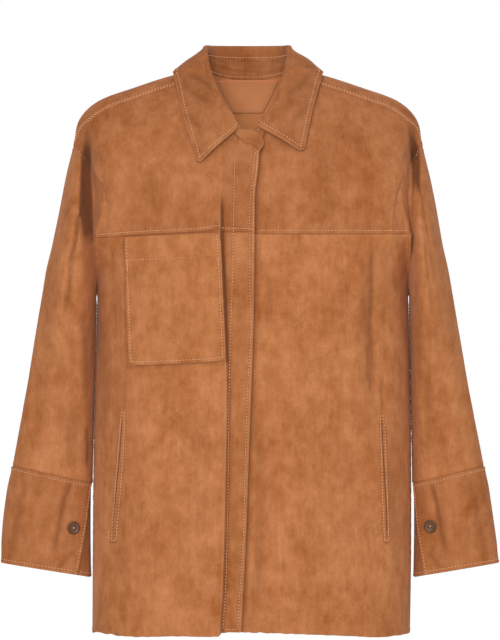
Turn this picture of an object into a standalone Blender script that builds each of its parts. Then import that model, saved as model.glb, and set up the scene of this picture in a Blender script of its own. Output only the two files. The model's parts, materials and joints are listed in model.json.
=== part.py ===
"""Suede shirt jacket, filled out and hollow, as it hangs when something inside holds it up.

The model is in metres with +Z up and the fronts facing -Y.  The origin is in the middle of the
neck opening, at the height of the back neck seam.  Lengths in this file are millimetres until
they go into a mesh.  "Right" and "left" are the wearer's, so the right side is at -X.

The trunk is made of columns: each one stands upright from the hem to the level of the underarm
and then rolls over, as a quarter of an oval, to the neckline, the shoulder ridge or the armhole
seam.  A sleeve is made of rings that hang between an outer rail and an inner rail.  Every panel
is a stretch of these surfaces, and what lies on a panel is made from its points, moved out.
"""
import math

import bmesh
import bpy
from mathutils import Vector

MM = 0.001

# ---------------------------------------------------------------- driving dimensions (mm)
CLOTH = 1.6                 # wall of the main panels
TRIM_CLOTH = 1.4            # wall of the pieces that lie on a panel
COLLAR_CLOTH = 2.0          # two layers and the seam allowance between them
CUFF_CLOTH = 1.8
PATCH_CLOTH = 1.2
SEAM_GAP = 0.3
ARMHOLE_GAP = 0.9
FORWARD_GAP = 0.8           # along the shoulder seam, which runs askew to the columns
NECK_GAP = 0.8              # the fronts' neck edges lie this far below the collar stand
LAY_GAP = 0.8               # between a panel and what lies on it
PATCH_GAP = 0.95            # between the back and the patch inside its neck
COLLAR_LIFT = 6.0           # the collar's outer face at its edge, above the cloth beneath
COVER_LIFT = 0.6            # the placket cover's outer face above the line of the front
PANEL_SINK = 4.8            # how far the left front sinks where it runs under the cover
MERGE_REACH = 0.01          # points nearer than this are one

HEM_Z = -702.0              # mean height of the hem
UNDERARM_Z = -273.0
YOKE_SEAM_Z = -200.0        # front chest seam
BACK_YOKE_Z = -112.0        # back yoke seam
FORWARD_SEAM_DROP = 19.0    # how far the shoulder seam lies in front of and below the ridge
COLUMN_ROUND = 1.8          # exponent of the quarter oval; 2 is an ellipse

NECK_SHARE = 0.19           # share of a half front that ends at the neckline
NECK_MIDDLE_Y = -8.0        # middle of the neck hole, front to back
SHOULDER_SHARE = 0.62       # share at which the shoulder ends and the armhole begins

BUTTON_RADIUS = 8.3
BUTTON_THICK = 3.0
HIDDEN_BUTTON_RADIUS = 6.5
HIDDEN_BUTTON_THICK = 1.8
HIDDEN_BUTTON_HEIGHTS = (-131.0, -224.0, -315.0, -409.5, -504.0, -600.0)

SUEDE = (0.455, 0.165, 0.062, 1.0)
SUEDE_LIGHT = (0.48, 0.195, 0.08, 1.0)
HORN = (0.16, 0.07, 0.03, 1.0)


# ---------------------------------------------------------------- tables
class Table:
    """Rows of sizes with named columns, read smoothly between the rows."""

    def __init__(self, columns, rows):
        self.names = columns.split()
        self.rows = sorted(rows)

    def column(self, name):
        index = self.names.index(name)
        return [row[index] for row in self.rows]

    def at(self, name, place):
        keys = self.column(self.names[0])
        values = self.column(name)
        if place <= keys[0]:
            return values[0]
        if place >= keys[-1]:
            return values[-1]
        k = max(i for i, key in enumerate(keys[:-1]) if key <= place)
        span = keys[k + 1] - keys[k]

        def slope(i):
            low, high = max(i - 1, 0), min(i + 1, len(keys) - 1)
            return (values[high] - values[low]) / (keys[high] - keys[low])

        s = (place - keys[k]) / span
        rise = s * s * (3 - 2 * s)
        return (values[k] * (1 - rise) + values[k + 1] * rise
                + slope(k) * span * s * (1 - s) ** 2
                - slope(k + 1) * span * s * s * (1 - s))


# Trunk sections: half widths to the right and left, depths to the front and back, squareness.
TRUNK = Table("z right left front back square", [
    (-702, -196.5, 204.5, -114, 122, 2.6),
    (-600, -196.0, 206.0, -112, 120, 2.6),
    (-480, -195.0, 206.0, -110, 118, 2.6),
    (-380, -193.0, 205.0, -109, 118, 2.6),
    (-273, -190.5, 202.5, -110, 120, 2.6)])

# The shoulder ridge seen from the front, from the neck point to the top of the armhole.
RIDGE = Table("share x y z", [
    (0.00, 54, 8, 12),
    (0.20, 95, 8, 4),
    (0.45, 145, 8, -12),
    (0.66, 190, 7, -29),
    (0.84, 214, 4, -53),
    (1.00, 221, 0, -86)])

# Heights of the neckline on the front and on the back, from the centre to the neck point.
NECKLINE = Table("share front back", [
    (0.00, -84, 0),
    (0.28, -76, 0),
    (0.55, -50, 2),
    (0.83, -12, 6),
    (1.00, 12, 12)])

# Sleeve rings: the outer and inner rails on each side, the depth to the front and to the back.
SLEEVE = Table("ring outer_z outer_right outer_left inner_z inner_right inner_left "
               "front back square", [
    (0.00, -86, -221.0, 221.0, -273, -190.8, 202.8, -46, 66, 2.0),
    (0.10, -122, -230.0, 229.5, -277, -193.0, 205.4, -60, 74, 2.0),
    (0.22, -168, -239.0, 239.0, -287, -193.6, 206.2, -72, 80, 2.1),
    (0.38, -232, -252.0, 250.0, -311, -195.2, 207.2, -74, 84, 2.2),
    (0.55, -302, -264.5, 262.5, -355, -197.0, 208.4, -66, 82, 2.3),
    (0.76, -392, -280.0, 279.0, -428, -198.6, 209.0, -50, 74, 2.5),
    (1.00, -491, -298.0, 298.5, -513, -198.6, 209.4, -36, 62, 2.6),
    (1.15, -553, -307.5, 308.0, -573, -199.0, 209.6, -30, 54, 2.7),
    (1.30, -613, -312.0, 316.5, -631, -199.0, 209.0, -26, 46, 2.7)])

# The front line of the armhole bends towards the middle of the body by this much.
ARMHOLE_BEND = {-1: 15.0, 1: 13.0}

# Lines down the front, as x at a height.
FOLD_EDGE = Table("z x", [(-702, -35.4), (-632, -31.0), (-486, -27.5), (-382, -26.5),
                          (-300, -29.5), (-199, -34.0), (-110, -34.0), (-60, -33.0)])
COVER_EDGE = Table("z x", [(-702, -9.2), (-581, -2.9), (-476, 0.8), (-305, 6.7),
                           (-188, 8.2), (-146, 8.8), (-115, 12.6), (-60, 16.0)])

# Height of the hem seen from the front, at a place across it.
HEM_FRONT = Table("x z", [(-197, -699), (-150, -704), (-90, -703), (-37, -703), (-33, -698.5),
                          (0, -698), (60, -700), (130, -703), (165, -705), (204, -702)])

# Soft waves in the panels: a line from one end to the other, its half width and its height.
FRONT_WAVES = Table("x0 z0 x1 z1 width height", [
    (-172, -250, -168, -640, 15, -3.5),
    (-130, -400, -112, -690, 20, 2.5),
    (-78, -430, -70, -690, 16, -2.5),
    (15, -440, 11, -690, 9, -3.0),
    (45, -300, 50, -690, 20, 2.5),
    (112, -420, 92, -690, 18, -2.5),
    (156, -215, 152, -450, 12, -3.5),
    (184, -260, 176, -650, 14, 3.0)])
BACK_WAVES = Table("x0 z0 x1 z1 width height", [
    (-150, -260, -140, -660, 24, 4.0),
    (-95, -330, -90, -690, 20, -3.5),
    (-38, -180, -42, -690, 26, 4.0),
    (22, -300, 26, -690, 20, -3.5),
    (80, -210, 88, -690, 24, 3.5),
    (140, -320, 132, -690, 20, -4.0)])
# On a sleeve the line runs from one angle and ring to another, and the width is in mm.
SLEEVE_WAVES = Table("angle0 ring0 angle1 ring1 width height", [
    (20, 0.30, 38, 0.95, 14, 3.5),
    (62, 0.08, 84, 0.50, 11, -6.0),
    (100, 0.45, 118, 0.95, 12, -3.0),
    (-40, 0.25, -58, 0.80, 15, -4.0),
    (-100, 0.20, -112, 0.75, 16, 4.0),
    (-140, 0.30, -138, 0.85, 12, -4.0)])

# Collar sections from the centre back to the front end: the roll where the collar turns over,
# and the outer edge as x and as degrees of turn from the shoulder ridge, negative down the back
# and positive down the front.
COLLAR_COLUMNS = "share roll_x roll_y roll_z edge_x edge_turn"
COLLAR = {
    -1: Table(COLLAR_COLUMNS, [
        (0.00, 0, 48, 42, 0, -23),
        (0.15, -24, 45, 42, -34, -22.5),
        (0.30, -43, 34, 42, -66, -17),
        (0.42, -51, 17, 42, -84, -8),
        (0.50, -53, 5, 39, -91, 0),
        (0.58, -52, -10, 31, -93, 8),
        (0.72, -46, -34, 5, -89, 20),
        (0.86, -28, -58, -29, -81, 35),
        (1.00, -9, -73, -61, -63, 54)]),
    1: Table(COLLAR_COLUMNS, [
        (0.00, 0, 48, 42, 0, -23),
        (0.15, 24, 45, 42, 34, -22.5),
        (0.30, 42, 34, 42, 66, -17),
        (0.42, 50, 17, 42, 84, -8),
        (0.50, 51, 5, 39, 91, 0),
        (0.58, 50, -10, 31, 93, 8),
        (0.72, 44, -34, 4, 88, 20),
        (0.86, 33, -57, -29, 80, 34),
        (1.00, 12, -72, -58, 70, 50)])}
STAND_PART = 0.7            # how much of the way from the neck seam to the roll is the stand

# The stand's rounded end tab past the leaf: its lower and upper edge seen from the front.
STAND_END = {
    -1: Table("part base_x base_z top_x top_z", [
        (0.00, -7, -83.5, -7, -67), (0.40, 5, -86, 5, -67), (0.70, 13, -87.5, 12, -69.5),
        (0.90, 18.5, -86.5, 17.5, -74), (1.00, 20.5, -83, 20, -79)]),
    1: Table("part base_x base_z top_x top_z", [
        (0.00, 11, -83, 11, -65), (0.50, -3, -85, -3, -66), (1.00, -17, -82, -17, -64)])}


# ---------------------------------------------------------------- trunk surface
def oval(angle, right, left, front, back, square):
    """A rounded section: angle 0 is the left side, -90 degrees is the centre front."""
    c, s = math.cos(angle), math.sin(angle)
    size = (abs(c) ** square + abs(s) ** square) ** (1 / square)
    depth = back if s > 0 else -front
    return (left + right) / 2 + (left - right) / 2 * c / size, depth * s / size


def trunk_section(share, z, face):
    """Where a column stands at a height.  share runs from -1, the right side seam, to 1."""
    angle = math.radians(90 - 90 * share) * (1 if face == "back" else -1)
    values = [TRUNK.at(name, z) for name in ("right", "left", "front", "back", "square")]
    return oval(angle, *values)


def side_of(share):
    return -1 if share < 0 else 1


def armhole(side, turn):
    """A point of the armhole seam.  turn 0 is its top, 1 the underarm, negative at the back."""
    return sleeve_base(side, math.pi * turn, 0.0)


def column_top(share, face):
    """The point in which a column ends."""
    side = side_of(share)
    reach = abs(share)
    if reach <= NECK_SHARE:
        part = reach / NECK_SHARE
        return Vector((side * RIDGE.at("x", 0) * part, RIDGE.at("y", 0), 22 - 10 * part ** 2))
    if reach <= SHOULDER_SHARE:
        part = (reach - NECK_SHARE) / (SHOULDER_SHARE - NECK_SHARE)
        return Vector((side * RIDGE.at("x", part), RIDGE.at("y", part), RIDGE.at("z", part)))
    turn = (reach - SHOULDER_SHARE) / (1 - SHOULDER_SHARE)
    return armhole(side, turn if face == "front" else -turn)


def column_reach(share, face):
    """How far up its oval a column goes, from 0 at the underarm level to 1 at the ridge."""
    part = abs(share) / NECK_SHARE
    if part >= 1:
        return 1.0
    return climb_of(share, NECKLINE.at(face, part), face)


def climb_of(share, z, face):
    """The climb at which a column has a height: negative below the underarm level."""
    if z <= UNDERARM_Z:
        return (z - UNDERARM_Z) / (UNDERARM_Z - HEM_Z)
    top = column_top(share, face).z
    rise = min(max((z - UNDERARM_Z) / max(top - UNDERARM_Z, 1e-6), 0.0), 1.0)
    reach = (1 - rise ** COLUMN_ROUND) ** (1 / COLUMN_ROUND)
    return math.atan2(rise, reach) / (math.pi / 2)


def plain_trunk(share, climb, face):
    """The trunk without waves."""
    if climb <= 0:
        z = UNDERARM_Z + climb * (UNDERARM_Z - HEM_Z)
        x, y = trunk_section(share, z, face)
        return Vector((x, y, z))
    x, y = trunk_section(share, UNDERARM_Z, face)
    top = column_top(share, face)
    angle = min(climb, 1.0) * math.pi / 2
    size = (math.cos(angle) ** COLUMN_ROUND + math.sin(angle) ** COLUMN_ROUND)
    size = size ** (1 / COLUMN_ROUND)
    rise, reach = math.sin(angle) / size, max(math.cos(angle), 0.0) / size
    # Columns that end in the armhole come to it from the middle of the body.
    inward = smooth_step((abs(share) - SHOULDER_SHARE + 0.12) / 0.2)
    return Vector((x + (top.x - x) * rise ** (1.6 + 3.4 * inward),
                   top.y + (y - top.y) * reach ** (1 + 0.8 * inward * (y < 0)),
                   UNDERARM_Z + (top.z - UNDERARM_Z) * rise))


def smooth_step(value):
    value = min(1.0, max(0.0, value))
    return value * value * (3 - 2 * value)


def wave_height(table, a, b, a_scale=1.0, b_scale=1.0):
    """Sum of the soft waves at a place; each fades out at its two ends."""
    total = 0.0
    for a0, b0, a1, b1, width, height in table.rows:
        run = ((a1 - a0) * a_scale, (b1 - b0) * b_scale)
        step = ((a - a0) * a_scale, (b - b0) * b_scale)
        length = math.hypot(*run)
        along = (run[0] * step[0] + run[1] * step[1]) / length ** 2
        across = abs(run[0] * step[1] - run[1] * step[0]) / length
        ends = smooth_step(along * 4 + 0.25) * smooth_step((1 - along) * 4 + 0.25)
        total += height * ends * math.exp(-(across / width) ** 2)
    return total


def normal_of(surface, a, b, step_a, step_b, low_a, high_a, low_b, high_b):
    """The outward direction of a surface, from small steps that stay inside its limits."""
    along = surface(min(a + step_a, high_a), b) - surface(max(a - step_a, low_a), b)
    up = surface(a, min(b + step_b, high_b)) - surface(a, max(b - step_b, low_b))
    return along.cross(up).normalized()


def plain_normal(share, climb, face):
    """The outward direction of the trunk without waves.  Near the side seam, where the columns
    shrink to nothing above the underarm, the direction is taken lower down."""
    highest = column_reach(share, face)
    flip = -1 if face == "back" else 1

    def plain(a, b):
        return plain_trunk(a, b, face)

    normal = flip * normal_of(plain, share, min(climb, highest), 0.01, 0.02, -1, 1, -2, highest)
    near_side = smooth_step((abs(share) - 0.86) / 0.08) if climb > 0 else 0.0
    if near_side:
        lower = flip * normal_of(plain, share, -0.02, 0.01, 0.02, -1, 1, -2, 0)
        normal = normal.lerp(lower, near_side).normalized()
    return normal


def ridge_normal(share):
    """The direction in which both cloths end at the shoulder ridge."""
    both = plain_normal(share, 1.0, "front") + plain_normal(share, 1.0, "back")
    return both.normalized()


def neck_normal(share, face):
    """Trunk and collar stand end alike at the neckline: between the trunk's way and level."""
    reach = column_reach(share, face)
    point = plain_trunk(share, reach, face)
    level = Vector((point.x, point.y - NECK_MIDDLE_Y, 0)).normalized()
    return (plain_normal(share, reach, face) + level).normalized()


def armhole_normal(side, turn):
    """Both cloths end alike at the armhole: between their own directions and straight out."""
    face = "front" if turn >= 0 else "back"
    share = side * (SHOULDER_SHARE + abs(turn) * (1 - SHOULDER_SHARE))
    trunk_way = plain_normal(share, 1.0, face)
    sleeve_way = sleeve_normal(side, math.pi * turn, 0.0, sleeve_base)
    middle = (armhole(side, 0.0) + armhole(side, 1.0)) / 2
    straight = (armhole(side, turn) - middle).normalized()
    return (trunk_way + sleeve_way + straight).normalized()


def armhole_step(side, turn):
    """Square to the armhole seam, from the trunk's cloth to the sleeve's, half a gap long."""
    tangent = armhole(side, turn + 0.01) - armhole(side, turn - 0.01)
    across = tangent.cross(armhole_normal(side, turn)).normalized()
    return across * side * (ARMHOLE_GAP / 2) * (1 if across.x > 0 else -1)


def turn_of(share, face):
    """Where on the armhole a column ends."""
    turn = (abs(share) - SHOULDER_SHARE) / (1 - SHOULDER_SHARE)
    return turn if face == "front" else -turn


def trunk(share, climb, face):
    """The trunk's outer face with its waves."""
    point = plain_trunk(share, climb, face)
    waves = FRONT_WAVES if face == "front" else BACK_WAVES
    edge = min(1.0, (1 - abs(share)) * 12)
    height = wave_height(waves, point.x, point.z) * edge
    return point + plain_normal(share, climb, face) * height


def trunk_normal(share, climb, face):
    """The direction in which the trunk's wall is thick; it turns to the seam's at the top."""
    normal = plain_normal(share, climb, face)
    near_top = smooth_step((climb - column_reach(share, face) + 0.12) / 0.12)
    if near_top:
        if abs(share) < NECK_SHARE:
            seam = neck_normal(share, face)
        elif abs(share) < SHOULDER_SHARE:
            seam = ridge_normal(share)
        else:
            seam = armhole_normal(side_of(share), turn_of(share, face))
        normal = normal.lerp(seam, near_top).normalized()
    return normal


def share_at(x, z, face):
    """The column that passes a place seen from the front."""
    low, high = -1.0, 1.0
    for _ in range(24):
        middle = (low + high) / 2
        if plain_trunk(middle, climb_of(middle, z, face), face).x < x:
            low = middle
        else:
            high = middle
    return (low + high) / 2


def on_trunk(x, z, face="front", lift=0.0):
    """The outer point and the normal at a place seen from the front."""
    share = share_at(x, z, face)
    climb = climb_of(share, z, face)
    normal = trunk_normal(share, climb, face)
    return trunk(share, climb, face) + normal * lift, normal


# ---------------------------------------------------------------- sleeve surface
def sleeve_base(side, angle, ring):
    """A sleeve ring: angle 0 is the outer rail, 90 degrees the front, 180 the inner rail."""
    name = "right" if side < 0 else "left"
    outer = Vector((SLEEVE.at("outer_" + name, ring), 0, SLEEVE.at("outer_z", ring)))
    inner = Vector((SLEEVE.at("inner_" + name, ring), 0, SLEEVE.at("inner_z", ring)))
    square = SLEEVE.at("square", ring)
    c, s = math.cos(angle), math.sin(angle)
    size = (abs(c) ** square + abs(s) ** square) ** (1 / square)
    depth = SLEEVE.at("front", ring) if s > 0 else -SLEEVE.at("back", ring)
    point = (outer + inner) / 2 + (outer - inner) / 2 * (c / size)
    point.y = depth * s / size
    turn = angle / math.pi
    if 0 < turn < 1:
        fade = max(0.0, 1 - ring / 0.45) ** 1.5
        point.x -= side * ARMHOLE_BEND[side] * math.sin(angle) * (1 - turn) * fade
    return point


def sleeve(side, angle, ring):
    """The sleeve's outer face with its waves."""
    point = sleeve_base(side, angle, ring)
    normal = sleeve_normal(side, angle, ring, sleeve_base)
    degrees = math.degrees(math.atan2(math.sin(angle), math.cos(angle)))
    fade = min(1.0, ring * 10) * min(1.0, max(0.0, 1 - ring) * 8)
    height = wave_height(SLEEVE_WAVES, degrees, ring, 1.2, 420) * fade
    return point + normal * height


def sleeve_normal(side, angle, ring, surface=sleeve):
    out = normal_of(lambda a, b: surface(side, a, b), angle, ring,
                    0.03, 0.01, -9, 9, 0, 1.3)
    return out * side


# ---------------------------------------------------------------- mesh making
def new_material(name, colour, roughness):
    material = bpy.data.materials.new(name)
    material.use_nodes = True
    shader = material.node_tree.nodes["Principled BSDF"]
    shader.inputs["Base Color"].default_value = colour
    shader.inputs["Roughness"].default_value = roughness
    material.diffuse_color = colour
    return material


def new_object(name, bm, material, collection):
    mesh = bpy.data.meshes.new(name)
    bm.to_mesh(mesh)
    bm.free()
    mesh.materials.append(material)
    mesh.shade_smooth()
    mesh.set_sharp_from_angle(angle=math.radians(50))
    obj = bpy.data.objects.new(name, mesh)
    collection.objects.link(obj)
    return obj


def shared_points(points):
    """For each point, the first one that lies in the same place."""
    first = []
    for index, point in enumerate(points):
        match = index
        for other in range(index):
            if (points[other] - point).length < MERGE_REACH:
                match = other
                break
        first.append(match)
    return first


def wall(name, grids, thickness, material, collection, close=False):
    """A cloth wall lofted through sections.

    Each grid is a list of rows of (outer point, normal) pairs.  Grids that meet share their
    points.  The inner face is the outer one moved in by the thickness, and rims join the two.
    """
    pairs = [pair for grid in grids for row in grid for pair in row]
    first = shared_points([point for point, _ in pairs])
    faces = []
    start = 0
    for grid in grids:
        count = len(grid[0])
        for row in range(len(grid) - 1):
            for place in range(count if close else count - 1):
                after = (place + 1) % count
                corners = [start + row * count + place, start + row * count + after,
                           start + (row + 1) * count + after, start + (row + 1) * count + place]
                corners = list(dict.fromkeys(first[corner] for corner in corners))
                if len(corners) > 2:
                    faces.append(corners)
        start += len(grid) * count

    bm = bmesh.new()
    used = sorted({corner for face in faces for corner in face})
    outer = {k: bm.verts.new(pairs[k][0] * MM) for k in used}
    inner = {k: bm.verts.new((pairs[k][0] - pairs[k][1] * thickness) * MM) for k in used}
    edges = set()
    for face in faces:
        bm.faces.new([outer[k] for k in face])
        bm.faces.new([inner[k] for k in reversed(face)])
        edges.update(zip(face, face[1:] + face[:1]))
    for a, b in edges:
        if (b, a) not in edges:
            bm.faces.new((outer[b], outer[a], inner[a], inner[b]))
    bmesh.ops.recalc_face_normals(bm, faces=bm.faces)
    return new_object(name, bm, material, collection)


def steps(first, last, count):
    return [first + (last - first) * k / count for k in range(count + 1)]


# ---------------------------------------------------------------- trunk panels
SIDE_SHARE = 1 - 0.0006     # the side seam, less half its gap
RIDGE_SHARES = (0.25, 0.31, 0.37, 0.43, 0.49, 0.555)
NECK_BACK_SHARES = (0.0, 0.04, 0.08, 0.12, 0.155, NECK_SHARE)
NECK_FRONT_SHARES = (NECK_SHARE, 0.17, 0.145, 0.13, 0.115, 0.085, 0.055, 0.025)


def seam_share(face, z):
    """The column on which the armhole seam has a height."""
    low, high = SHOULDER_SHARE, 1.0
    for _ in range(30):
        middle = (low + high) / 2
        if column_top(middle, face).z > z:
            low = middle
        else:
            high = middle
    return (low + high) / 2


FRONT_CORNER = seam_share("front", YOKE_SEAM_Z)
BACK_CORNER = seam_share("back", BACK_YOKE_Z)
FRONT_ABOVE = steps(SHOULDER_SHARE, FRONT_CORNER, 7)
FRONT_BELOW = steps(FRONT_CORNER, SIDE_SHARE, 6)
BACK_ABOVE = steps(SHOULDER_SHARE, BACK_CORNER, 3)
BACK_BELOW = steps(BACK_CORNER, SIDE_SHARE, 9)


def shifted(share, climb, face, distance):
    """A climb moved along its column by a distance, up or down."""
    start = plain_trunk(share, climb, face)
    near, far = 0.0, 0.15
    for _ in range(16):
        middle = (near + far) / 2
        moved = plain_trunk(share, climb + math.copysign(middle, distance), face)
        if (moved - start).length < abs(distance):
            near = middle
        else:
            far = middle
    return climb + math.copysign(near, distance)


def hem_climb(share, face):
    x = plain_trunk(share, -1, face).x
    z = HEM_FRONT.at("z", x) if face == "front" else HEM_Z
    return (z - UNDERARM_Z) / (UNDERARM_Z - HEM_Z)


def forward_seam(share):
    """The climb of the shoulder seam on a front column."""
    part = (abs(share) - NECK_SHARE) / (SHOULDER_SHARE - NECK_SHARE)
    drop = FORWARD_SEAM_DROP * min(1.0, part * 5) * min(1.0, (1 - part) * 4)
    return climb_of(share, column_top(share, "front").z - drop, "front")


def front_top(share):
    """Where the front ends: neckline, shoulder seam or armhole."""
    reach = abs(share)
    if reach < NECK_SHARE:
        return shifted(share, column_reach(share, "front"), "front", -NECK_GAP)
    if reach <= SHOULDER_SHARE:
        return shifted(share, forward_seam(share), "front", -FORWARD_GAP)
    return 1.0


def front_limits(share, upper):
    """The lowest and highest climb of a front, above or below the chest seam."""
    seam = climb_of(share, YOKE_SEAM_Z, "front")
    top = front_top(share)
    if upper:
        return min(shifted(share, seam, "front", SEAM_GAP / 2), top), top
    if abs(share) <= FRONT_CORNER:
        top = shifted(share, seam, "front", -SEAM_GAP)
    return hem_climb(share, "front"), top


def column_by_share(share, limits, rows):
    return [(share, climb) for climb in steps(*limits(share), rows)]


def column_by_line(x_at, limits, rows):
    """A column that follows a line down the front; x_at gives its x at a height."""
    column = []
    for k in range(rows + 1):
        z = -150.0
        for _ in range(3):
            share = share_at(x_at(z), z, "front")
            low, high = limits(share)
            climb = low + (high - low) * k / rows
            z = plain_trunk(share, climb, "front").z
        column.append((share, climb))
    return column


def grid_of(columns, face, lift=None):
    """Rows of (point, normal) from columns of (share, climb)."""
    grid = []
    for row in zip(*columns):
        pairs = []
        for share, climb in row:
            normal = trunk_normal(share, climb, face)
            point = trunk(share, climb, face)
            point += normal * (lift(point.x, point.z) if lift else 0.0)
            if climb > 0.9999 and abs(share) > SHOULDER_SHARE - 0.0001:
                point -= armhole_step(side_of(share), turn_of(share, face))
            pairs.append((point, normal))
        grid.append(pairs)
    return grid


def right_front_lift(x, z):
    """The right front rises towards its edge, which laps over the placket."""
    near = min(1.0, max(0.0, 1 - (FOLD_EDGE.at("x", z) - x) / 26))
    return near ** 2 * (1.5 + 2.0 * smooth_step((-z - 150) / 60))


def left_front_lift(x, z):
    """The left front sinks where it runs under the placket."""
    return -PANEL_SINK * smooth_step((COVER_EDGE.at("x", z) + 12 - x) / 10)


def front_panel(name, side, upper, rows, material, collection):
    def limits(share):
        return front_limits(share, upper)

    if side < 0:
        lift, offsets, centre = right_front_lift, (0, -5), FOLD_EDGE
    else:
        lift, offsets, centre = left_front_lift, (-27, -13, -7, -2, 4, 11), COVER_EDGE
    columns = []
    for offset in offsets:
        columns.append(column_by_line(lambda z: centre.at("x", z) + offset, limits, rows))
    shares = [0.145, 0.17, NECK_SHARE] if side < 0 else [0.115, 0.145, NECK_SHARE]
    shares += list(RIDGE_SHARES) + FRONT_ABOVE
    if not upper:
        shares += FRONT_BELOW[1:]
    columns += [column_by_share(side * share, limits, rows) for share in shares]
    return wall(name, [grid_of(columns, "front", lift)], CLOTH, material, collection)


def back_lower_panel(material, collection):
    half = steps(0, SHOULDER_SHARE, 9)[:-1] + BACK_ABOVE + BACK_BELOW[1:]

    def limits(share):
        top = 1.0
        if abs(share) <= BACK_CORNER:
            top = shifted(share, climb_of(share, BACK_YOKE_Z, "back"), "back", -SEAM_GAP)
        return hem_climb(share, "back"), top

    shares = [-value for value in half[:0:-1]] + half
    columns = [column_by_share(share, limits, 10) for share in shares]
    return wall("back_lower", [grid_of(columns, "back")], CLOTH, material, collection)


def back_yoke_panel(material, collection):
    """The yoke: the top of the back, and over each shoulder to the forward seam."""
    ridge = (NECK_SHARE,) + RIDGE_SHARES + (SHOULDER_SHARE,)
    half = list(NECK_BACK_SHARES) + list(ridge[1:-1]) + BACK_ABOVE[:-1] + [BACK_CORNER - 0.004]

    def back_limits(share):
        top = column_reach(share, "back")
        seam = climb_of(share, BACK_YOKE_Z, "back")
        return min(shifted(share, seam, "back", SEAM_GAP / 2), top), top

    def shoulder_limits(share):
        return 1.0, min(1.0, shifted(share, forward_seam(share), "front", SEAM_GAP / 2))

    shares = [-value for value in half[:0:-1]] + half
    columns = [column_by_share(share, back_limits, 6) for share in shares]
    grids = [grid_of(columns, "back")]
    for side in (-1, 1):
        columns = [column_by_share(side * share, shoulder_limits, 2) for share in ridge]
        if side > 0:
            columns.reverse()
        grids.append(grid_of(columns[::-1], "front"))
    return wall("back_yoke", grids, CLOTH, material, collection)


def placket_cover(material, collection):
    """The strip over the concealed buttons, with a bump over each of them."""
    def limits(share):
        x = plain_trunk(share, 0.6, "front").x
        top = climb_of(share, -84 - 0.25 * max(x, 0), "front")
        if x < -4:
            top = shifted(share, column_reach(share, "front"), "front", -NECK_GAP)
        return climb_of(share, HEM_FRONT.at("z", x) + 1, "front"), top

    def lift(x, z):
        edge, fold = COVER_EDGE.at("x", z), FOLD_EDGE.at("x", z)
        bumps = sum(1.1 * math.exp(-((z - height) / 12) ** 2 - ((x - edge + 14) / 9) ** 2)
                    for height in HIDDEN_BUTTON_HEIGHTS)
        valley = min(-0.8, right_front_lift(x, z) - CLOTH - 0.5)
        return valley + (COVER_LIFT + bumps - valley) * smooth_step((x - fold - 3) / 9)

    def line(part):
        def x_at(z):
            first = FOLD_EDGE.at("x", z) - 6
            return first + (COVER_EDGE.at("x", z) - first) * part
        return x_at

    columns = [column_by_line(line(part), limits, 24)
               for part in (0, 0.15, 0.29, 0.43, 0.58, 0.72, 0.86, 1)]
    return wall("placket_cover", [grid_of(columns, "front", lift)], TRIM_CLOTH, material,
                collection)


def patch_grid(across, down, outline, lift):
    """Points of a piece that lies on the front, from its outline seen from the front."""
    grid = []
    for v in steps(0, 1, down):
        grid.append([on_trunk(*outline(u, v), "front", lift) for u in steps(0, 1, across)])
    return grid


POCKET_CORNERS = {"top_right": (-154.5, -202.5), "top_left": (-36.5, -197.0),
                  "bottom_left": (-30.0, -357.5), "bottom_right": (-149.5, -363.5)}


def chest_pocket(material, collection):
    def outline(u, v):
        corner = POCKET_CORNERS
        left = [a + (b - a) * v for a, b in zip(corner["bottom_right"], corner["top_right"])]
        right = [a + (b - a) * v for a, b in zip(corner["bottom_left"], corner["top_left"])]
        return [a + (b - a) * u for a, b in zip(left, right)]

    grid = patch_grid(9, 10, outline, 0.0)
    lifted = []
    for row in grid:
        lifted.append([])
        for point, normal in row:
            out = right_front_lift(point.x, point.z) + LAY_GAP + TRIM_CLOTH
            lifted[-1].append((point + normal * out, normal))
    return wall("chest_pocket", [lifted], TRIM_CLOTH, material, collection)


# Centre lines of the side pockets' welts, and their half width.
WELTS = {-1: Table("z x half", [(-582, -167.5, 4.2), (-520, -163, 4.6), (-470, -160, 4.4),
                                (-417, -157.5, 3.6)]),
         1: Table("z x half", [(-582, 174, 4.2), (-520, 171.5, 4.6), (-470, 170, 4.4),
                               (-425, 169, 3.6)])}


def pocket_welt(side, material, collection):
    line = WELTS[side]
    bottom, top = line.column("z")[0], line.column("z")[-1]

    def outline(u, v):
        z = bottom + (top - bottom) * v
        return line.at("x", z) + (2 * u - 1) * line.at("half", z), z

    grid = patch_grid(2, 12, outline, LAY_GAP + TRIM_CLOTH)
    name = "pocket_welt_" + ("right" if side < 0 else "left")
    return wall(name, [grid], TRIM_CLOTH, material, collection)


def neck_patch(material, collection):
    """Lies inside the back of the neck: wide at the neck seam, narrow below."""
    def outline(u, v):
        z = -40 + 38.5 * v
        return (2 * u - 1) * (21 + 22 * v), z

    grid = []
    for v in steps(0, 1, 4):
        row = []
        for u in steps(0, 1, 8):
            x, z = outline(u, v)
            point, normal = on_trunk(x, z, "back")
            row.append((point - normal * (CLOTH + PATCH_GAP), normal))
        grid.append(row)
    return wall("neck_patch", [grid], PATCH_CLOTH, material, collection)


# ---------------------------------------------------------------- sleeves and cuffs
def sleeve_angles(side):
    """Angles round a sleeve that meet the ends of the trunk's columns at the armhole."""
    def turns(shares):
        return [(share - SHOULDER_SHARE) / (1 - SHOULDER_SHARE) for share in shares]

    front = turns(FRONT_ABOVE + FRONT_BELOW[1:-1])
    back = turns(BACK_ABOVE[1:] + BACK_BELOW[1:-1])
    return [math.pi * turn for turn in front] + [math.pi] + [-math.pi * t for t in back[::-1]]


SLEEVE_RINGS = (0, 0.04, 0.08, 0.13, 0.19, 0.25, 0.31, 0.38, 0.45, 0.53, 0.61, 0.69, 0.77,
                0.85, 0.93, 1)


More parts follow.
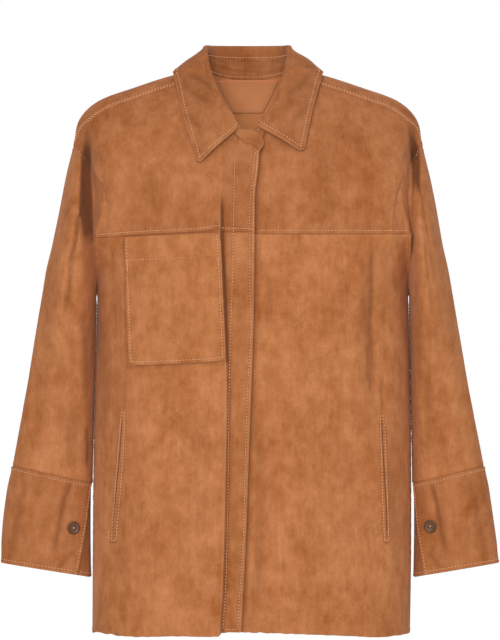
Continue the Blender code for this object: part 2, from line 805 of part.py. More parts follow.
def sleeve_tube(side, material, collection):
    grid = []
    last = len(SLEEVE_RINGS) - 1
    for k, ring in enumerate(SLEEVE_RINGS):
        row = []
        for angle in sleeve_angles(side):
            normal = sleeve_normal(side, angle, ring)
            point = sleeve(side, angle, ring)
            if k == 0:
                normal = armhole_normal(side, angle / math.pi)
                point += armhole_step(side, angle / math.pi)
            if k == last:
                step = sleeve(side, angle, 0.97) - point
                point += step.normalized() * SEAM_GAP / 2
            row.append((point, normal))
        grid.append(row)
    name = "sleeve_" + ("right" if side < 0 else "left")
    return wall(name, [grid], CLOTH, material, collection, close=True)


# Where the front edge of each cuff lies, as x at a height, and the cuff's top and bottom rings.
CUFF_EDGE = {-1: Table("z x", [(-630, -216.0), (-575, -206.0), (-512, -198.5)]),
             1: Table("z x", [(-630, 223.0), (-575, 214.5), (-512, 209.0)])}
CUFF_TOP, CUFF_BOTTOM = 1.0009, 1.3
CUFF_LIFT = 0.9             # the cuff's outer face stands this far above the sleeve's
CUFF_UNDERLAP = 0.62        # how far the under end runs beneath the upper one, in radians


def cuff_edge_angle(side, ring):
    low, high = math.pi / 2, math.pi
    for _ in range(24):
        middle = (low + high) / 2
        point = sleeve_base(side, middle, ring)
        if (point.x - CUFF_EDGE[side].at("x", point.z)) * side > 0:
            low = middle
        else:
            high = middle
    return (low + high) / 2


def cuff_point(side, turn, ring):
    """turn runs from 0, the upper end, right round to 1, the under end."""
    start = cuff_edge_angle(side, ring)
    angle = start - turn * (2 * math.pi + CUFF_UNDERLAP)
    under = smooth_step((turn - 0.70) / 0.14)
    inset = (CUFF_CLOTH + 1.0) * under
    normal = sleeve_normal(side, angle, ring, sleeve_base)
    return sleeve_base(side, angle, ring) + normal * (CUFF_LIFT - inset), normal


def cuff(side, material, collection):
    grid = []
    for ring in steps(CUFF_TOP, CUFF_BOTTOM, 4):
        grid.append([cuff_point(side, turn, ring) for turn in steps(0, 1, 34)])
    name = "cuff_" + ("right" if side < 0 else "left")
    return wall(name, [grid], CUFF_CLOTH, material, collection)


# ---------------------------------------------------------------- collar
def bend(points, count):
    """A smooth line through a few points, as count + 1 places."""
    places = []
    spans = len(points) - 1
    for k in range(count + 1):
        at = spans * k / count
        i = min(int(at), spans - 1)
        s = at - i
        p1, p2 = points[i], points[i + 1]
        p0 = points[i - 1] if i > 0 else p1 * 2 - p2
        p3 = points[i + 2] if i + 2 <= spans else p2 * 2 - p1
        places.append(0.5 * (2 * p1 + (p2 - p0) * s + (2 * p0 - 5 * p1 + 4 * p2 - p3) * s * s
                             + (3 * p1 - p0 - 3 * p2 + p3) * s ** 3))
    return places


def with_normals(rows, outward):
    """Pairs each point of a grid with its normal, turned to the side that outward gives."""
    grid = []
    for i, row in enumerate(rows):
        below, above = rows[max(i - 1, 0)], rows[min(i + 1, len(rows) - 1)]
        pairs = []
        for j, point in enumerate(row):
            along = row[min(j + 1, len(row) - 1)] - row[max(j - 1, 0)]
            normal = along.cross(above[j] - below[j]).normalized()
            pairs.append((point, normal * outward))
        grid.append(pairs)
    return grid


# The collar's sections stand on the ends of the panels' columns: share 0 is the centre back,
# 0.5 the neck point and 1 the front end.
COLLAR_BACK = [0.5 * (value / NECK_SHARE) ** 1.1 for value in NECK_BACK_SHARES]
COLLAR_FRONT = [0.5 + 0.5 * math.sqrt((1 - value / NECK_SHARE) / 0.87)
                for value in NECK_FRONT_SHARES]
COLLAR_SHARES = COLLAR_BACK + COLLAR_FRONT[1:]


def neckline_point(side, share):
    """The neck seam at one of the collar's sections, and the way the cloth's edge faces."""
    if share <= 0.5:
        face, column = "back", NECK_SHARE * (share / 0.5) ** (1 / 1.1)
    else:
        face, column = "front", NECK_SHARE * (1 - 0.87 * ((share - 0.5) / 0.5) ** 2)
    column = max(column, 0.0001) * side
    reach = column_reach(column, face)
    return plain_trunk(column, reach, face), neck_normal(column, face)


def front_end_lift(side, x, share=1.0):
    """At the centre front the right end of the collar lies over the left one."""
    if share <= 0.5:
        return 0.0
    if side > 0:
        return -2.3 * smooth_step((16 - x) / 12)
    return 3.6 * smooth_step((x + 44) / 20)


def clear_of_trunk(point, least):
    """Moves a point of the collar out until it is at least so far from the trunk."""
    face = "front" if point.y < RIDGE.at("y", 0) else "back"
    share = share_at(point.x, point.z, face)
    climb = climb_of(share, point.z, face)
    normal = plain_normal(share, climb, face)
    height = (point - plain_trunk(share, climb, face)).dot(normal)
    return point + normal * max(0.0, least - height)


def collar_frame(side, share):
    """Named points of one collar section, with the ways out and up."""
    table = COLLAR[side]

    def place(name, at):
        return Vector([table.at(name + axis, at) for axis in ("_x", "_y", "_z")])

    base, facing = neckline_point(side, share)
    roll = place("roll", share)
    top = base.lerp(roll, STAND_PART)
    along = place("roll", min(share + 0.02, 1)) - place("roll", max(share - 0.02, 0))
    up = (roll - top).normalized()
    out = along.cross(up).normalized() * -side
    lift = out * front_end_lift(side, top.x, share)
    base += facing * front_end_lift(side, base.x, share) + up * SEAM_GAP
    turn = table.at("edge_turn", share)
    face = "front" if turn > 0 else "back"
    climb = 1 - abs(turn) / 90
    x = table.at("edge_x", share)
    low, high = -1.0, 1.0
    for _ in range(24):
        middle = (low + high) / 2
        if plain_trunk(middle, climb, face).x < x:
            low = middle
        else:
            high = middle
    column = (low + high) / 2
    edge = plain_trunk(column, climb, face) + plain_normal(column, climb, face) * COLLAR_LIFT
    return base, top + lift, roll + lift, edge, out, up


END_STEPS = 4               # sections of each end of the stand past the leaf


def stand_rows(rows):
    """Rows of the stand's outer face, from its right end round the back to its left end."""
    columns = {}
    for side in (-1, 1):
        columns[side] = []
        for share in COLLAR_SHARES:
            base, top, _, _, out, _ = collar_frame(side, share)
            columns[side].append(bend([base, (base + top) / 2 + out * 0.8, top], rows))
        for part in steps(0, 1, END_STEPS)[1:]:
            table = STAND_END[side]
            ends = []
            for name in ("base", "top"):
                x, z = table.at(name + "_x", part), table.at(name + "_z", part)
                share = share_at(x, z, "front")
                climb = climb_of(share, z, "front")
                normal = plain_normal(share, climb, "front")
                ends.append(plain_trunk(share, climb, "front")
                            + normal * front_end_lift(side, x))
            columns[side].append(bend([ends[0], (ends[0] + ends[1]) / 2, ends[1]], rows))
    ordered = columns[-1][::-1] + columns[1][1:]
    return [list(row) for row in zip(*ordered)]


def collar_stand(material, collection):
    grid = with_normals(stand_rows(3), -1)
    middle = END_STEPS + len(COLLAR_SHARES) - 1
    for side in (-1, 1):
        for index, share in enumerate(COLLAR_SHARES):
            at = middle + side * index
            grid[0][at] = (grid[0][at][0], neckline_point(side, share)[1])
            grid[-1][at] = (grid[-1][at][0], collar_frame(side, share)[4])
    return wall("collar_stand", [grid], COLLAR_CLOTH, material, collection)


def leaf_section(side, share):
    """From the stand's top, over the roll, down to the outer edge."""
    _, top, roll, edge, out, up = collar_frame(side, share)
    start = top - out * COLLAR_CLOTH + up * 2 * SEAM_GAP
    turned = roll + out * 3.2
    outer = roll + out * 7.0 - up * 5.0
    middle = outer.lerp(edge, 0.5) + out * 3
    line = bend([start, roll - out * 1.2 - up * 1.5, turned, outer, middle, edge], 20)
    picks = [line[k] for k in (0, 4, 6, 8, 10, 12, 14, 16, 18, 20)]
    over_stand = 9.5 if side < 0 else 6.5
    if share > 0.5:
        for k in range(4, 9):
            least = over_stand + (COLLAR_LIFT - over_stand) * smooth_step((k - 4) / 5)
            picks[k] = clear_of_trunk(picks[k], least)
    return picks


def collar_leaf(material, collection):
    right = [leaf_section(-1, share) for share in COLLAR_SHARES]
    left = [leaf_section(1, share) for share in COLLAR_SHARES]
    ordered = right[::-1] + left[1:]
    grid = with_normals([list(row) for row in zip(*ordered)], 1)
    middle = len(COLLAR_SHARES) - 1
    for side in (-1, 1):
        for index, share in enumerate(COLLAR_SHARES):
            at = middle + side * index
            grid[0][at] = (grid[0][at][0], -collar_frame(side, share)[4])
    return wall("collar_leaf", [grid], COLLAR_CLOTH, material, collection)


# ---------------------------------------------------------------- buttons
def button(name, radius, thick, centre, normal, dished, material, collection):
    """A turned button whose flat underside faces the cloth."""
    if dished:
        profile = [(0, 0.55), (0.50, 0.55), (0.62, 1.0), (0.86, 1.0), (1.0, 0.7), (0.96, 0.2),
                   (0.7, 0.0), (0, 0.0)]
        sides = 28
    else:
        profile = [(0, 1.0), (0.8, 1.0), (1.0, 0.6), (0.9, 0.0), (0, 0.0)]
        sides = 14
    bm = bmesh.new()
    verts = [bm.verts.new((share * radius * MM, 0, height * thick * MM))
             for share, height in profile]
    edges = [bm.edges.new(pair) for pair in zip(verts, verts[1:])]
    bmesh.ops.spin(bm, geom=verts + edges, cent=(0, 0, 0), axis=(0, 0, 1),
                   angle=math.tau, steps=sides, use_merge=True)
    bmesh.ops.remove_doubles(bm, verts=bm.verts, dist=0.00001)
    bmesh.ops.recalc_face_normals(bm, faces=bm.faces)
    obj = new_object(name, bm, material, collection)
    obj.rotation_mode = "QUATERNION"
    obj.rotation_quaternion = normal.to_track_quat("Z", "Y")
    obj.location = centre * MM
    return obj


CUFF_BUTTONS = {-1: (-221.0, -568.6), 1: (231.0, -566.6)}


def cuff_button(side, material, collection):
    """Sits on the upper end of the cuff at a place seen from the front."""
    x, z = CUFF_BUTTONS[side]
    ring, angle = 1.2, math.radians(110)
    for _ in range(12):
        point = sleeve_base(side, angle, ring)
        across = sleeve_base(side, angle + 0.05, ring) - point
        down = sleeve_base(side, angle, ring + 0.01) - point
        det = across.x * down.z - across.z * down.x
        gap_x, gap_z = x - point.x, z - point.z
        angle += 0.05 * (gap_x * down.z - gap_z * down.x) / det
        ring += 0.01 * (across.x * gap_z - across.z * gap_x) / det
    normal = sleeve_normal(side, angle, ring, sleeve_base)
    centre = sleeve_base(side, angle, ring) + normal * (CUFF_LIFT + 2 * SEAM_GAP)
    name = "cuff_button_" + ("right" if side < 0 else "left")
    return button(name, BUTTON_RADIUS, BUTTON_THICK, centre, normal, True, material, collection)


def hidden_button(index, material, collection):
    """Sewn to the left front under the placket cover."""
    z = HIDDEN_BUTTON_HEIGHTS[index]
    x = COVER_EDGE.at("x", z) - 14
    point, normal = on_trunk(x, z)
    centre = point + normal * (left_front_lift(x, z) + SEAM_GAP)
    return button("placket_button_%d" % (index + 1), HIDDEN_BUTTON_RADIUS, HIDDEN_BUTTON_THICK,
                  centre, normal, False, material, collection)


# ---------------------------------------------------------------- the whole garment
def clear_scene():
    for obj in list(bpy.data.objects):
        bpy.data.objects.remove(obj, do_unlink=True)


def main():
    clear_scene()
    garment = bpy.data.collections.new("shirt_jacket")
    bpy.context.scene.collection.children.link(garment)
    suede = new_material("suede", SUEDE, 0.92)
    suede_light = new_material("suede_light", SUEDE_LIGHT, 0.88)
    horn = new_material("horn", HORN, 0.35)
    front_panel("front_right_yoke", -1, True, 7, suede, garment)
    front_panel("front_left_yoke", 1, True, 7, suede, garment)
    front_panel("front_right_lower", -1, False, 15, suede, garment)
    front_panel("front_left_lower", 1, False, 15, suede, garment)
    back_yoke_panel(suede, garment)
    back_lower_panel(suede, garment)
    placket_cover(suede, garment)
    collar_stand(suede, garment)
    collar_leaf(suede, garment)
    chest_pocket(suede, garment)
    neck_patch(suede_light, garment)
    for side in (-1, 1):
        pocket_welt(side, suede, garment)
        sleeve_tube(side, suede, garment)
        cuff(side, suede, garment)
        cuff_button(side, horn, garment)
    for index in range(len(HIDDEN_BUTTON_HEIGHTS)):
        hidden_button(index, horn, garment)


main()
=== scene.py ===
import json
import math

import bmesh
import bpy
import numpy as np
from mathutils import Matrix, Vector
from mathutils.bvhtree import BVHTree

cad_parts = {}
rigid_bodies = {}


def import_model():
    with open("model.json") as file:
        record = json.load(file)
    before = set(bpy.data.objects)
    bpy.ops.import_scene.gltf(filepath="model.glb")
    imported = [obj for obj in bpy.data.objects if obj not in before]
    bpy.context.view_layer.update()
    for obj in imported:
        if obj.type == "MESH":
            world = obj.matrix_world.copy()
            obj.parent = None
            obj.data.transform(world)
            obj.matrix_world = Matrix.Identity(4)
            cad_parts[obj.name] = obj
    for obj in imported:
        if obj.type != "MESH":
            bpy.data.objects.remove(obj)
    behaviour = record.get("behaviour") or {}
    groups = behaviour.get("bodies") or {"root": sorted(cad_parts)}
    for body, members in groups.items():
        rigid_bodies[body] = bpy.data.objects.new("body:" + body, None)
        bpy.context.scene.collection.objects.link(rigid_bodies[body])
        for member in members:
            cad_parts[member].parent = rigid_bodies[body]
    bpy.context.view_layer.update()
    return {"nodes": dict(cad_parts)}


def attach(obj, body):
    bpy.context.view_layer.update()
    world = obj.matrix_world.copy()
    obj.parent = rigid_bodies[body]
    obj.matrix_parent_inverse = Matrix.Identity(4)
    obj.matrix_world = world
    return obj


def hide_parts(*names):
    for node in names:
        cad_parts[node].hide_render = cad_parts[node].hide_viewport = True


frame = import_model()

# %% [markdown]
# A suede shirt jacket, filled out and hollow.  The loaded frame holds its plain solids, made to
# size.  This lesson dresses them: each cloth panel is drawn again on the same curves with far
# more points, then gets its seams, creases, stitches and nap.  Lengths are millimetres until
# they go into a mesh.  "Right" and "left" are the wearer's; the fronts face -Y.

MM = 0.001
SIDES = ((-1, "right"), (1, "left"))
print("plain solids:", len(frame["nodes"]), "nodes")

# %% [markdown]
# A garment is drawn from measurements, so its curves are kept as short tables: heights against
# widths, a row for each place where a tape would be laid.  A smooth curve through the rows gives
# every place between them.  Working on whole arrays at once keeps a dense mesh quick.

# %% Tables that read smoothly between their rows
class Table:
    def __init__(self, columns, rows):
        self.names = columns.split()
        self.rows = np.array(sorted(rows), dtype=float)
        self.steps = np.linspace(self.rows[0, 0], self.rows[-1, 0], 1600)
        self.lines = {}

    def line(self, name):
        """The curve through one column's values, read at many even steps."""
        keys, values = self.rows[:, 0], self.rows[:, self.names.index(name)]
        slopes = np.empty(len(keys))
        slopes[1:-1] = (values[2:] - values[:-2]) / (keys[2:] - keys[:-2])
        slopes[0] = (values[1] - values[0]) / (keys[1] - keys[0])
        slopes[-1] = (values[-1] - values[-2]) / (keys[-1] - keys[-2])
        k = np.clip(np.searchsorted(keys, self.steps, side="right") - 1, 0, len(keys) - 2)
        span = keys[k + 1] - keys[k]
        s = (self.steps - keys[k]) / span
        rise = s * s * (3 - 2 * s)
        return (values[k] * (1 - rise) + values[k + 1] * rise
                + slopes[k] * span * s * (1 - s) ** 2 - slopes[k + 1] * span * s * s * (1 - s))

    def at(self, name, place):
        if name not in self.lines:
            self.lines[name] = self.line(name)
        return np.interp(place, self.steps, self.lines[name])


def smooth(value):
    value = np.clip(value, 0.0, 1.0)
    return value * value * (3 - 2 * value)


def bell(value, width):
    return np.exp(-(value / width) ** 2)


def unit(vectors):
    return vectors / np.maximum(np.linalg.norm(vectors, axis=-1, keepdims=True), 1e-9)


def points(x, y, z):
    return np.stack(np.broadcast_arrays(x, y, z), axis=-1).astype(float)


def lengths(line):
    """How far along a line each of its points lies."""
    return np.concatenate([[0], np.cumsum(np.linalg.norm(np.diff(line, axis=0), axis=1))])


def close_in(low, high, below, steps=24):
    """Halves a range until it closes in on the place where a test turns false."""
    for _ in range(steps):
        middle = (low + high) / 2
        keep = below(middle)
        low, high = np.where(keep, middle, low), np.where(keep, high, middle)
    return (low + high) / 2


print("tables ready")

# %% Measurements of the body and the shoulders
HEM_Z, UNDERARM_Z, YOKE_SEAM_Z, BACK_YOKE_Z = -702.0, -273.0, -200.0, -112.0
FORWARD_SEAM_DROP, COLUMN_ROUND = 14.5, 1.8
NECK_SHARE, SHOULDER_SHARE, NECK_MIDDLE_Y = 0.19, 0.62, -8.0
CLOTH, TRIM_CLOTH, COLLAR_CLOTH, CUFF_CLOTH = 1.5, 1.2, 2.0, 1.7

TRUNK = Table("z right left front back square", [
    (-702, -196.5, 204.5, -114, 122, 2.6), (-600, -196.0, 206.0, -112, 120, 2.6),
    (-480, -195.0, 206.0, -110, 118, 2.6), (-380, -193.0, 205.0, -109, 118, 2.6),
    (-273, -190.5, 202.5, -110, 120, 2.6)])
RIDGE = Table("share x y z", [
    (0.00, 54, 8, 12), (0.20, 95, 8, 4), (0.45, 145, 8, -12), (0.66, 190, 7, -29),
    (0.84, 214, 4, -53), (1.00, 221, 0, -86)])
NECKLINE = Table("share front back", [
    (0.00, -84, 0), (0.28, -76, 0), (0.55, -50, 2), (0.83, -12, 6), (1.00, 12, 12)])
SLEEVE = Table("ring outer_z outer_right outer_left inner_z inner_right inner_left "
               "front back square", [
    (0.00, -86, -221.0, 221.0, -273, -190.8, 202.8, -46, 66, 2.0),
    (0.10, -122, -230.0, 229.5, -277, -192.0, 204.0, -60, 74, 2.0),
    (0.22, -168, -239.0, 239.0, -287, -191.8, 204.0, -72, 80, 2.1),
    (0.38, -232, -252.0, 250.0, -311, -192.2, 204.3, -74, 84, 2.2),
    (0.55, -302, -264.5, 262.5, -355, -193.2, 205.3, -66, 82, 2.3),
    (0.76, -392, -280.0, 279.0, -428, -195.0, 206.6, -50, 74, 2.5),
    (1.00, -491, -298.0, 298.5, -513, -197.0, 208.0, -36, 62, 2.6),
    (1.15, -553, -307.5, 308.0, -573, -198.3, 209.0, -30, 54, 2.7),
    (1.30, -613, -312.0, 316.5, -631, -198.6, 209.0, -26, 46, 2.7)])
FOLD_EDGE = Table("z x", [(-702, -35.4), (-632, -31.0), (-486, -27.5), (-382, -26.5),
                          (-300, -29.5), (-199, -34.0), (-110, -34.0), (-60, -33.0)])
COVER_EDGE = Table("z x", [(-702, -9.2), (-581, -2.9), (-476, 0.8), (-305, 6.7),
                           (-188, 8.2), (-146, 8.8), (-115, 12.6), (-60, 16.0)])
HEM_FRONT = Table("x z", [(-197, -699), (-150, -704), (-90, -703), (-37, -703), (-33, -698.5),
                          (0, -698), (60, -700), (130, -703), (165, -705), (204, -702)])
HIDDEN_BUTTON_HEIGHTS = (-131.0, -224.0, -315.0, -409.5, -504.0, -600.0)
# How far in from its edge each row of stitches runs.
SEAM_ROW, ARMHOLE_ROW, LEAF_ROW, POCKET_ROW, BRIM_ROW, PATCH_ROW = 4.4, 3.0, 5.6, 3.6, 29.5, 3.0
CUFF_TOP_ROW, CUFF_BOTTOM_ROW, CUFF_END_ROW = 3.6, 4.2, 3.0
print("body", HEM_Z, "mm to the hem;", len(SLEEVE.rows), "rows for a sleeve")

# %% [markdown]
# The trunk is a bundle of columns.  Each stands upright from the hem to the underarm and then
# rolls over to the neckline, the shoulder ridge or the armhole.  Two numbers name a place:
# share, from -1 at the right side seam to 1 at the left, and climb, from -1 at the hem over 0 at
# the underarm to 1 at the top.

# %% The trunk's surface
def on_oval(angle, square):
    """A place on a unit oval, as across and up; it is a circle where square is 2."""
    c, s = np.cos(angle), np.sin(angle)
    size = (np.abs(c) ** square + np.abs(s) ** square) ** (1 / square)
    return c / size, s / size


def oval(angle, right, left, front, back, square):
    across, deep = on_oval(angle, square)
    depth = np.where(deep > 0, back, -front)
    return (left + right) / 2 + (left - right) / 2 * across, depth * deep


def trunk_section(share, z, face):
    angle = np.radians(90 - 90 * share) * (1 if face == "back" else -1)
    return oval(angle, *[TRUNK.at(n, z) for n in ("right", "left", "front", "back", "square")])


def sleeve_base(side, angle, ring):
    side, angle, ring = np.broadcast_arrays(np.asarray(side, float), angle, ring)

    def rail(name):
        return np.where(side < 0, SLEEVE.at(name + "_right", ring), SLEEVE.at(name + "_left", ring))

    outer = points(rail("outer"), 0, SLEEVE.at("outer_z", ring))
    inner = points(rail("inner"), 0, SLEEVE.at("inner_z", ring))
    across, deep = on_oval(angle, SLEEVE.at("square", ring))
    place = (outer + inner) / 2 + (outer - inner) / 2 * across[..., None]
    place[..., 1] = deep * np.where(deep > 0, SLEEVE.at("front", ring), -SLEEVE.at("back", ring))
    turn = np.clip(angle / np.pi, 0, 1)
    bend = np.where(side < 0, 15.0, 13.0) * np.sin(np.pi * turn) * (1 - turn)
    place[..., 0] -= side * bend * np.maximum(0.0, 1 - ring / 0.45) ** 1.5
    return place


def column_top(share, face):
    share = np.asarray(share, float)
    side, reach = np.where(share < 0, -1.0, 1.0), np.abs(share)
    part = np.minimum(reach / NECK_SHARE, 1)
    neck = points(side * 54 * part, 8, 22 - 10 * part ** 2)
    part = np.clip((reach - NECK_SHARE) / (SHOULDER_SHARE - NECK_SHARE), 0, 1)
    ridge = points(side * RIDGE.at("x", part), RIDGE.at("y", part), RIDGE.at("z", part))
    turn = np.clip((reach - SHOULDER_SHARE) / (1 - SHOULDER_SHARE), 0, 1)
    hole = sleeve_base(side, np.pi * turn * (1 if face == "front" else -1), 0.0)
    top = np.where((reach <= SHOULDER_SHARE)[..., None], ridge, hole)
    return np.where((reach <= NECK_SHARE)[..., None], neck, top)


def climb_of(share, z, face):
    share, z = np.broadcast_arrays(np.asarray(share, float), np.asarray(z, float))
    top = column_top(share, face)[..., 2]
    rise = np.clip((z - UNDERARM_Z) / np.maximum(top - UNDERARM_Z, 1e-6), 0.0, 1.0)
    reach = (1 - rise ** COLUMN_ROUND) ** (1 / COLUMN_ROUND)
    return np.where(z <= UNDERARM_Z, (z - UNDERARM_Z) / (UNDERARM_Z - HEM_Z),
                    np.arctan2(rise, reach) / (np.pi / 2))


def column_reach(share, face):
    part = np.abs(share) / NECK_SHARE
    return np.where(part >= 1, 1.0, climb_of(share, NECKLINE.at(face, part), face))


def plain_trunk(share, climb, face):
    share, climb = np.broadcast_arrays(np.asarray(share, float), np.asarray(climb, float))
    z = np.where(climb <= 0, UNDERARM_Z + climb * (UNDERARM_Z - HEM_Z), UNDERARM_Z)
    x, y = trunk_section(share, z, face)
    top = column_top(share, face)
    reach, rise = on_oval(np.clip(climb, 0.0, 1.0) * np.pi / 2, COLUMN_ROUND)
    inward = smooth((np.abs(share) - SHOULDER_SHARE + 0.12) / 0.2)
    high = points(x + (top[..., 0] - x) * rise ** (1.6 + 3.4 * inward),
                  top[..., 1] + (y - top[..., 1]) * reach ** (1 + 0.8 * inward * (y < 0)),
                  UNDERARM_Z + (top[..., 2] - UNDERARM_Z) * rise)
    return np.where((climb <= 0)[..., None], points(x, y, z), high)


def plain_normal(share, climb, face):
    share, climb = np.broadcast_arrays(np.asarray(share, float), np.asarray(climb, float))
    highest = column_reach(share, face)
    flip = -1 if face == "back" else 1

    def ways(level, top):
        across = (plain_trunk(np.minimum(share + 0.01, 1), level, face)
                  - plain_trunk(np.maximum(share - 0.01, -1), level, face))
        up = (plain_trunk(share, np.minimum(level + 0.02, top), face)
              - plain_trunk(share, level - 0.02, face))
        return flip * unit(np.cross(across, up))

    normal = ways(np.minimum(climb, highest), highest)
    lower = ways(np.full_like(share, -0.02), np.zeros_like(share))
    near_side = smooth((np.abs(share) - 0.86) / 0.08) * (climb > 0)
    return unit(normal + (lower - normal) * near_side[..., None])


def share_at(x, z, face):
    def left_of(share):
        return plain_trunk(share, climb_of(share, z, face), face)[..., 0] < x

    return close_in(np.full(np.shape(z), -1.0), np.full(np.shape(z), 1.0), left_of)


print("chest point:", plain_trunk(0.3, 0.2, "front").round(1))

# %% [markdown]
# Cloth is never flat.  Soft folds are lines with a width and a height: a fold rises, a trough
# sinks, and each one fades out at its ends.  The ones on the fronts follow the shadows in the
# picture; the back and the outer sleeves get similar ones, because the same hands and the same
# weight made them.  The last column is painted shade: how much darker a trough is coloured, for
# the shade that falls in it.

# %% Folds and troughs of the cloth
FRONT_FOLDS = Table("x0 z0 x1 z1 width height dark", [
    (-172, -250, -168, -640, 15, -3.0, 0.05), (-130, -400, -112, -690, 20, 2.2, 0.0),
    (-78, -430, -70, -690, 16, -2.0, 0.05), (15, -440, 12, -680, 8, -2.8, 0.30),
    (45, -300, 50, -690, 20, 2.2, 0.0), (112, -420, 92, -690, 18, -2.2, 0.05),
    (156, -215, 153, -450, 12, -2.6, 0.12), (184, -260, 176, -650, 14, 2.6, 0.0),
    (146, -260, 150, -340, 5, -0.8, 0.2),
    (155, -205, 158, -385, 4.0, -1.6, 0.50), (150, -331, 157, -408, 2.6, -1.1, 0.35),
    (169, -374, 169, -420, 2.4, -1.0, 0.3), (65, -190, 62, -224, 4, -0.6, 0.25),
    (27, -238, 23, -320, 4.5, -0.7, 0.22), (128, -250, 112, -330, 9, -0.7, 0.08),
    (88, -60, 96, -190, 16, -0.9, 0.08), (-172, -213, -170, -310, 4.0, -0.9, 0.16),
    (-96, -70, -92, -190, 18, 1.0, 0.0), (-126, -100, -118, -170, 3.0, -0.5, 0.16),
    (-139, -100, -131, -150, 2.6, 0.4, 0.0), (-186, -300, -184, -470, 6, -1.4, 0.25),
    (-60, -430, -54, -560, 10, -0.8, 0.10), (-110, -500, -98, -560, 3.0, -0.6, 0.14),
    (-96, -540, -86, -600, 3.0, 0.7, 0.0), (-118, -560, -108, -640, 4.0, -0.6, 0.12),
    (70, -430, 78, -520, 12, -0.8, 0.06), (34, -380, 42, -520, 12, 1.0, 0.0),
    (132, -470, 124, -600, 9, -0.9, 0.08), (182, -450, 184, -600, 6, -1.4, 0.15),
    (-44, -380, -46, -690, 5, 1.0, 0.0), (72, -330, 78, -470, 12, -0.9, 0.05),
    (174, -212, 172, -330, 5.0, -0.8, 0.12), (140, -215, 138, -300, 7.0, 0.8, 0.0)])
BACK_FOLDS = Table("x0 z0 x1 z1 width height dark", [
    (-150, -260, -140, -660, 24, 4.0, 0.0), (-95, -330, -90, -690, 20, -3.5, 0.05),
    (-38, -180, -42, -690, 26, 4.0, 0.0), (22, -300, 26, -690, 20, -3.5, 0.05),
    (80, -210, 88, -690, 24, 3.5, 0.0), (140, -320, 132, -690, 20, -4.0, 0.06),
    (-176, -150, -150, -250, 8, -2.2, 0.20), (-186, -210, -160, -320, 7, -2.0, 0.20),
    (180, -150, 152, -260, 8, -2.2, 0.20), (188, -215, 160, -330, 7, -2.0, 0.20),
    (-62, -128, -66, -290, 7, -1.3, 0.12), (58, -128, 64, -270, 7, -1.3, 0.12),
    (-6, -140, -2, -420, 9, 1.5, 0.0), (112, -430, 96, -600, 7, -1.4, 0.12),
    (-118, -440, -128, -610, 7, -1.4, 0.12), (-24, -520, -60, -640, 8, 1.4, 0.0),
    (50, -500, 20, -640, 7, -1.2, 0.10), (-100, -60, -116, -106, 9, -1.0, 0.10),
    (104, -56, 120, -104, 9, -1.0, 0.10), (-176, -380, -170, -560, 9, -2.0, 0.12),
    (176, -400, 178, -580, 9, -2.0, 0.12)])
# Round a sleeve a fold runs from one angle and ring to another; 90 degrees is the front.
SLEEVE_FOLDS = Table("angle0 ring0 angle1 ring1 width height dark", [
    (20, 0.30, 38, 0.95, 14, 3.0, 0.0), (62, 0.08, 84, 0.50, 11, -3.0, 0.05),
    (100, 0.45, 118, 0.95, 12, -2.5, 0.10), (-40, 0.25, -58, 0.80, 15, -4.0, 0.10),
    (-100, 0.20, -112, 0.75, 16, 4.0, 0.0), (-140, 0.30, -138, 0.85, 12, -4.0, 0.10),
    (-72, 0.05, -96, 0.34, 7, -3.0, 0.25), (-50, 0.55, -66, 0.96, 6, -1.8, 0.15),
    (-88, 0.60, -80, 0.96, 6, 1.6, 0.0), (-118, 0.50, -106, 0.92, 7, -2.0, 0.15),
    (-16, 0.40, -20, 0.90, 8, 1.6, 0.0), (150, 0.10, 158, 0.60, 8, -1.5, 0.10)])
# What shows on the front of each sleeve, as seen from the front.
SLEEVE_LINES = {
    -1: Table("x0 z0 x1 z1 width height dark", [
        (-207, -158, -213, -176, 2.6, -2.6, 0.75), (-212, -172, -217, -200, 2.6, -2.4, 0.7),
        (-216, -196, -225, -236, 2.8, -2.2, 0.55), (-224, -230, -231, -300, 3.5, -1.8, 0.35),
        (-203, -176, -204, -200, 2.0, -1.4, 0.6), (-219, -168, -223, -200, 4.0, 1.6, 0.0),
        (-206, -290, -203, -400, 5.0, -1.4, 0.28), (-232, -330, -238, -460, 7.0, -1.2, 0.12),
        (-250, -250, -262, -400, 9.0, -1.0, 0.08), (-214, -420, -222, -500, 5.0, -1.2, 0.18),
        (-246, -420, -250, -495, 6.0, 1.0, 0.0), (-262, -380, -276, -490, 6.0, -1.0, 0.12),
        (-200, -440, -203, -492, 3.0, -2.2, 0.6), (-228, -450, -224, -500, 3.5, -0.9, 0.2)]),
    1: Table("x0 z0 x1 z1 width height dark", [
        (206, -80, 209, -112, 3.0, -2.6, 0.6), (212, -108, 219, -150, 2.8, -2.2, 0.5),
        (218, -142, 228, -200, 3.0, -2.0, 0.45), (227, -190, 236, -262, 4.0, -1.5, 0.25),
        (216, -170, 222, -260, 5.0, 1.2, 0.0), (214, -250, 217, -400, 6.0, -1.2, 0.15),
        (238, -260, 246, -420, 8.0, -1.2, 0.12), (224, -380, 228, -480, 4.0, -1.2, 0.2),
        (256, -330, 270, -480, 8.0, 1.0, 0.0), (246, -440, 250, -496, 4.0, -1.2, 0.25),
        (262, -440, 280, -486, 6.0, -0.9, 0.12), (232, -100, 236, -180, 6.0, 1.0, 0.0)])}


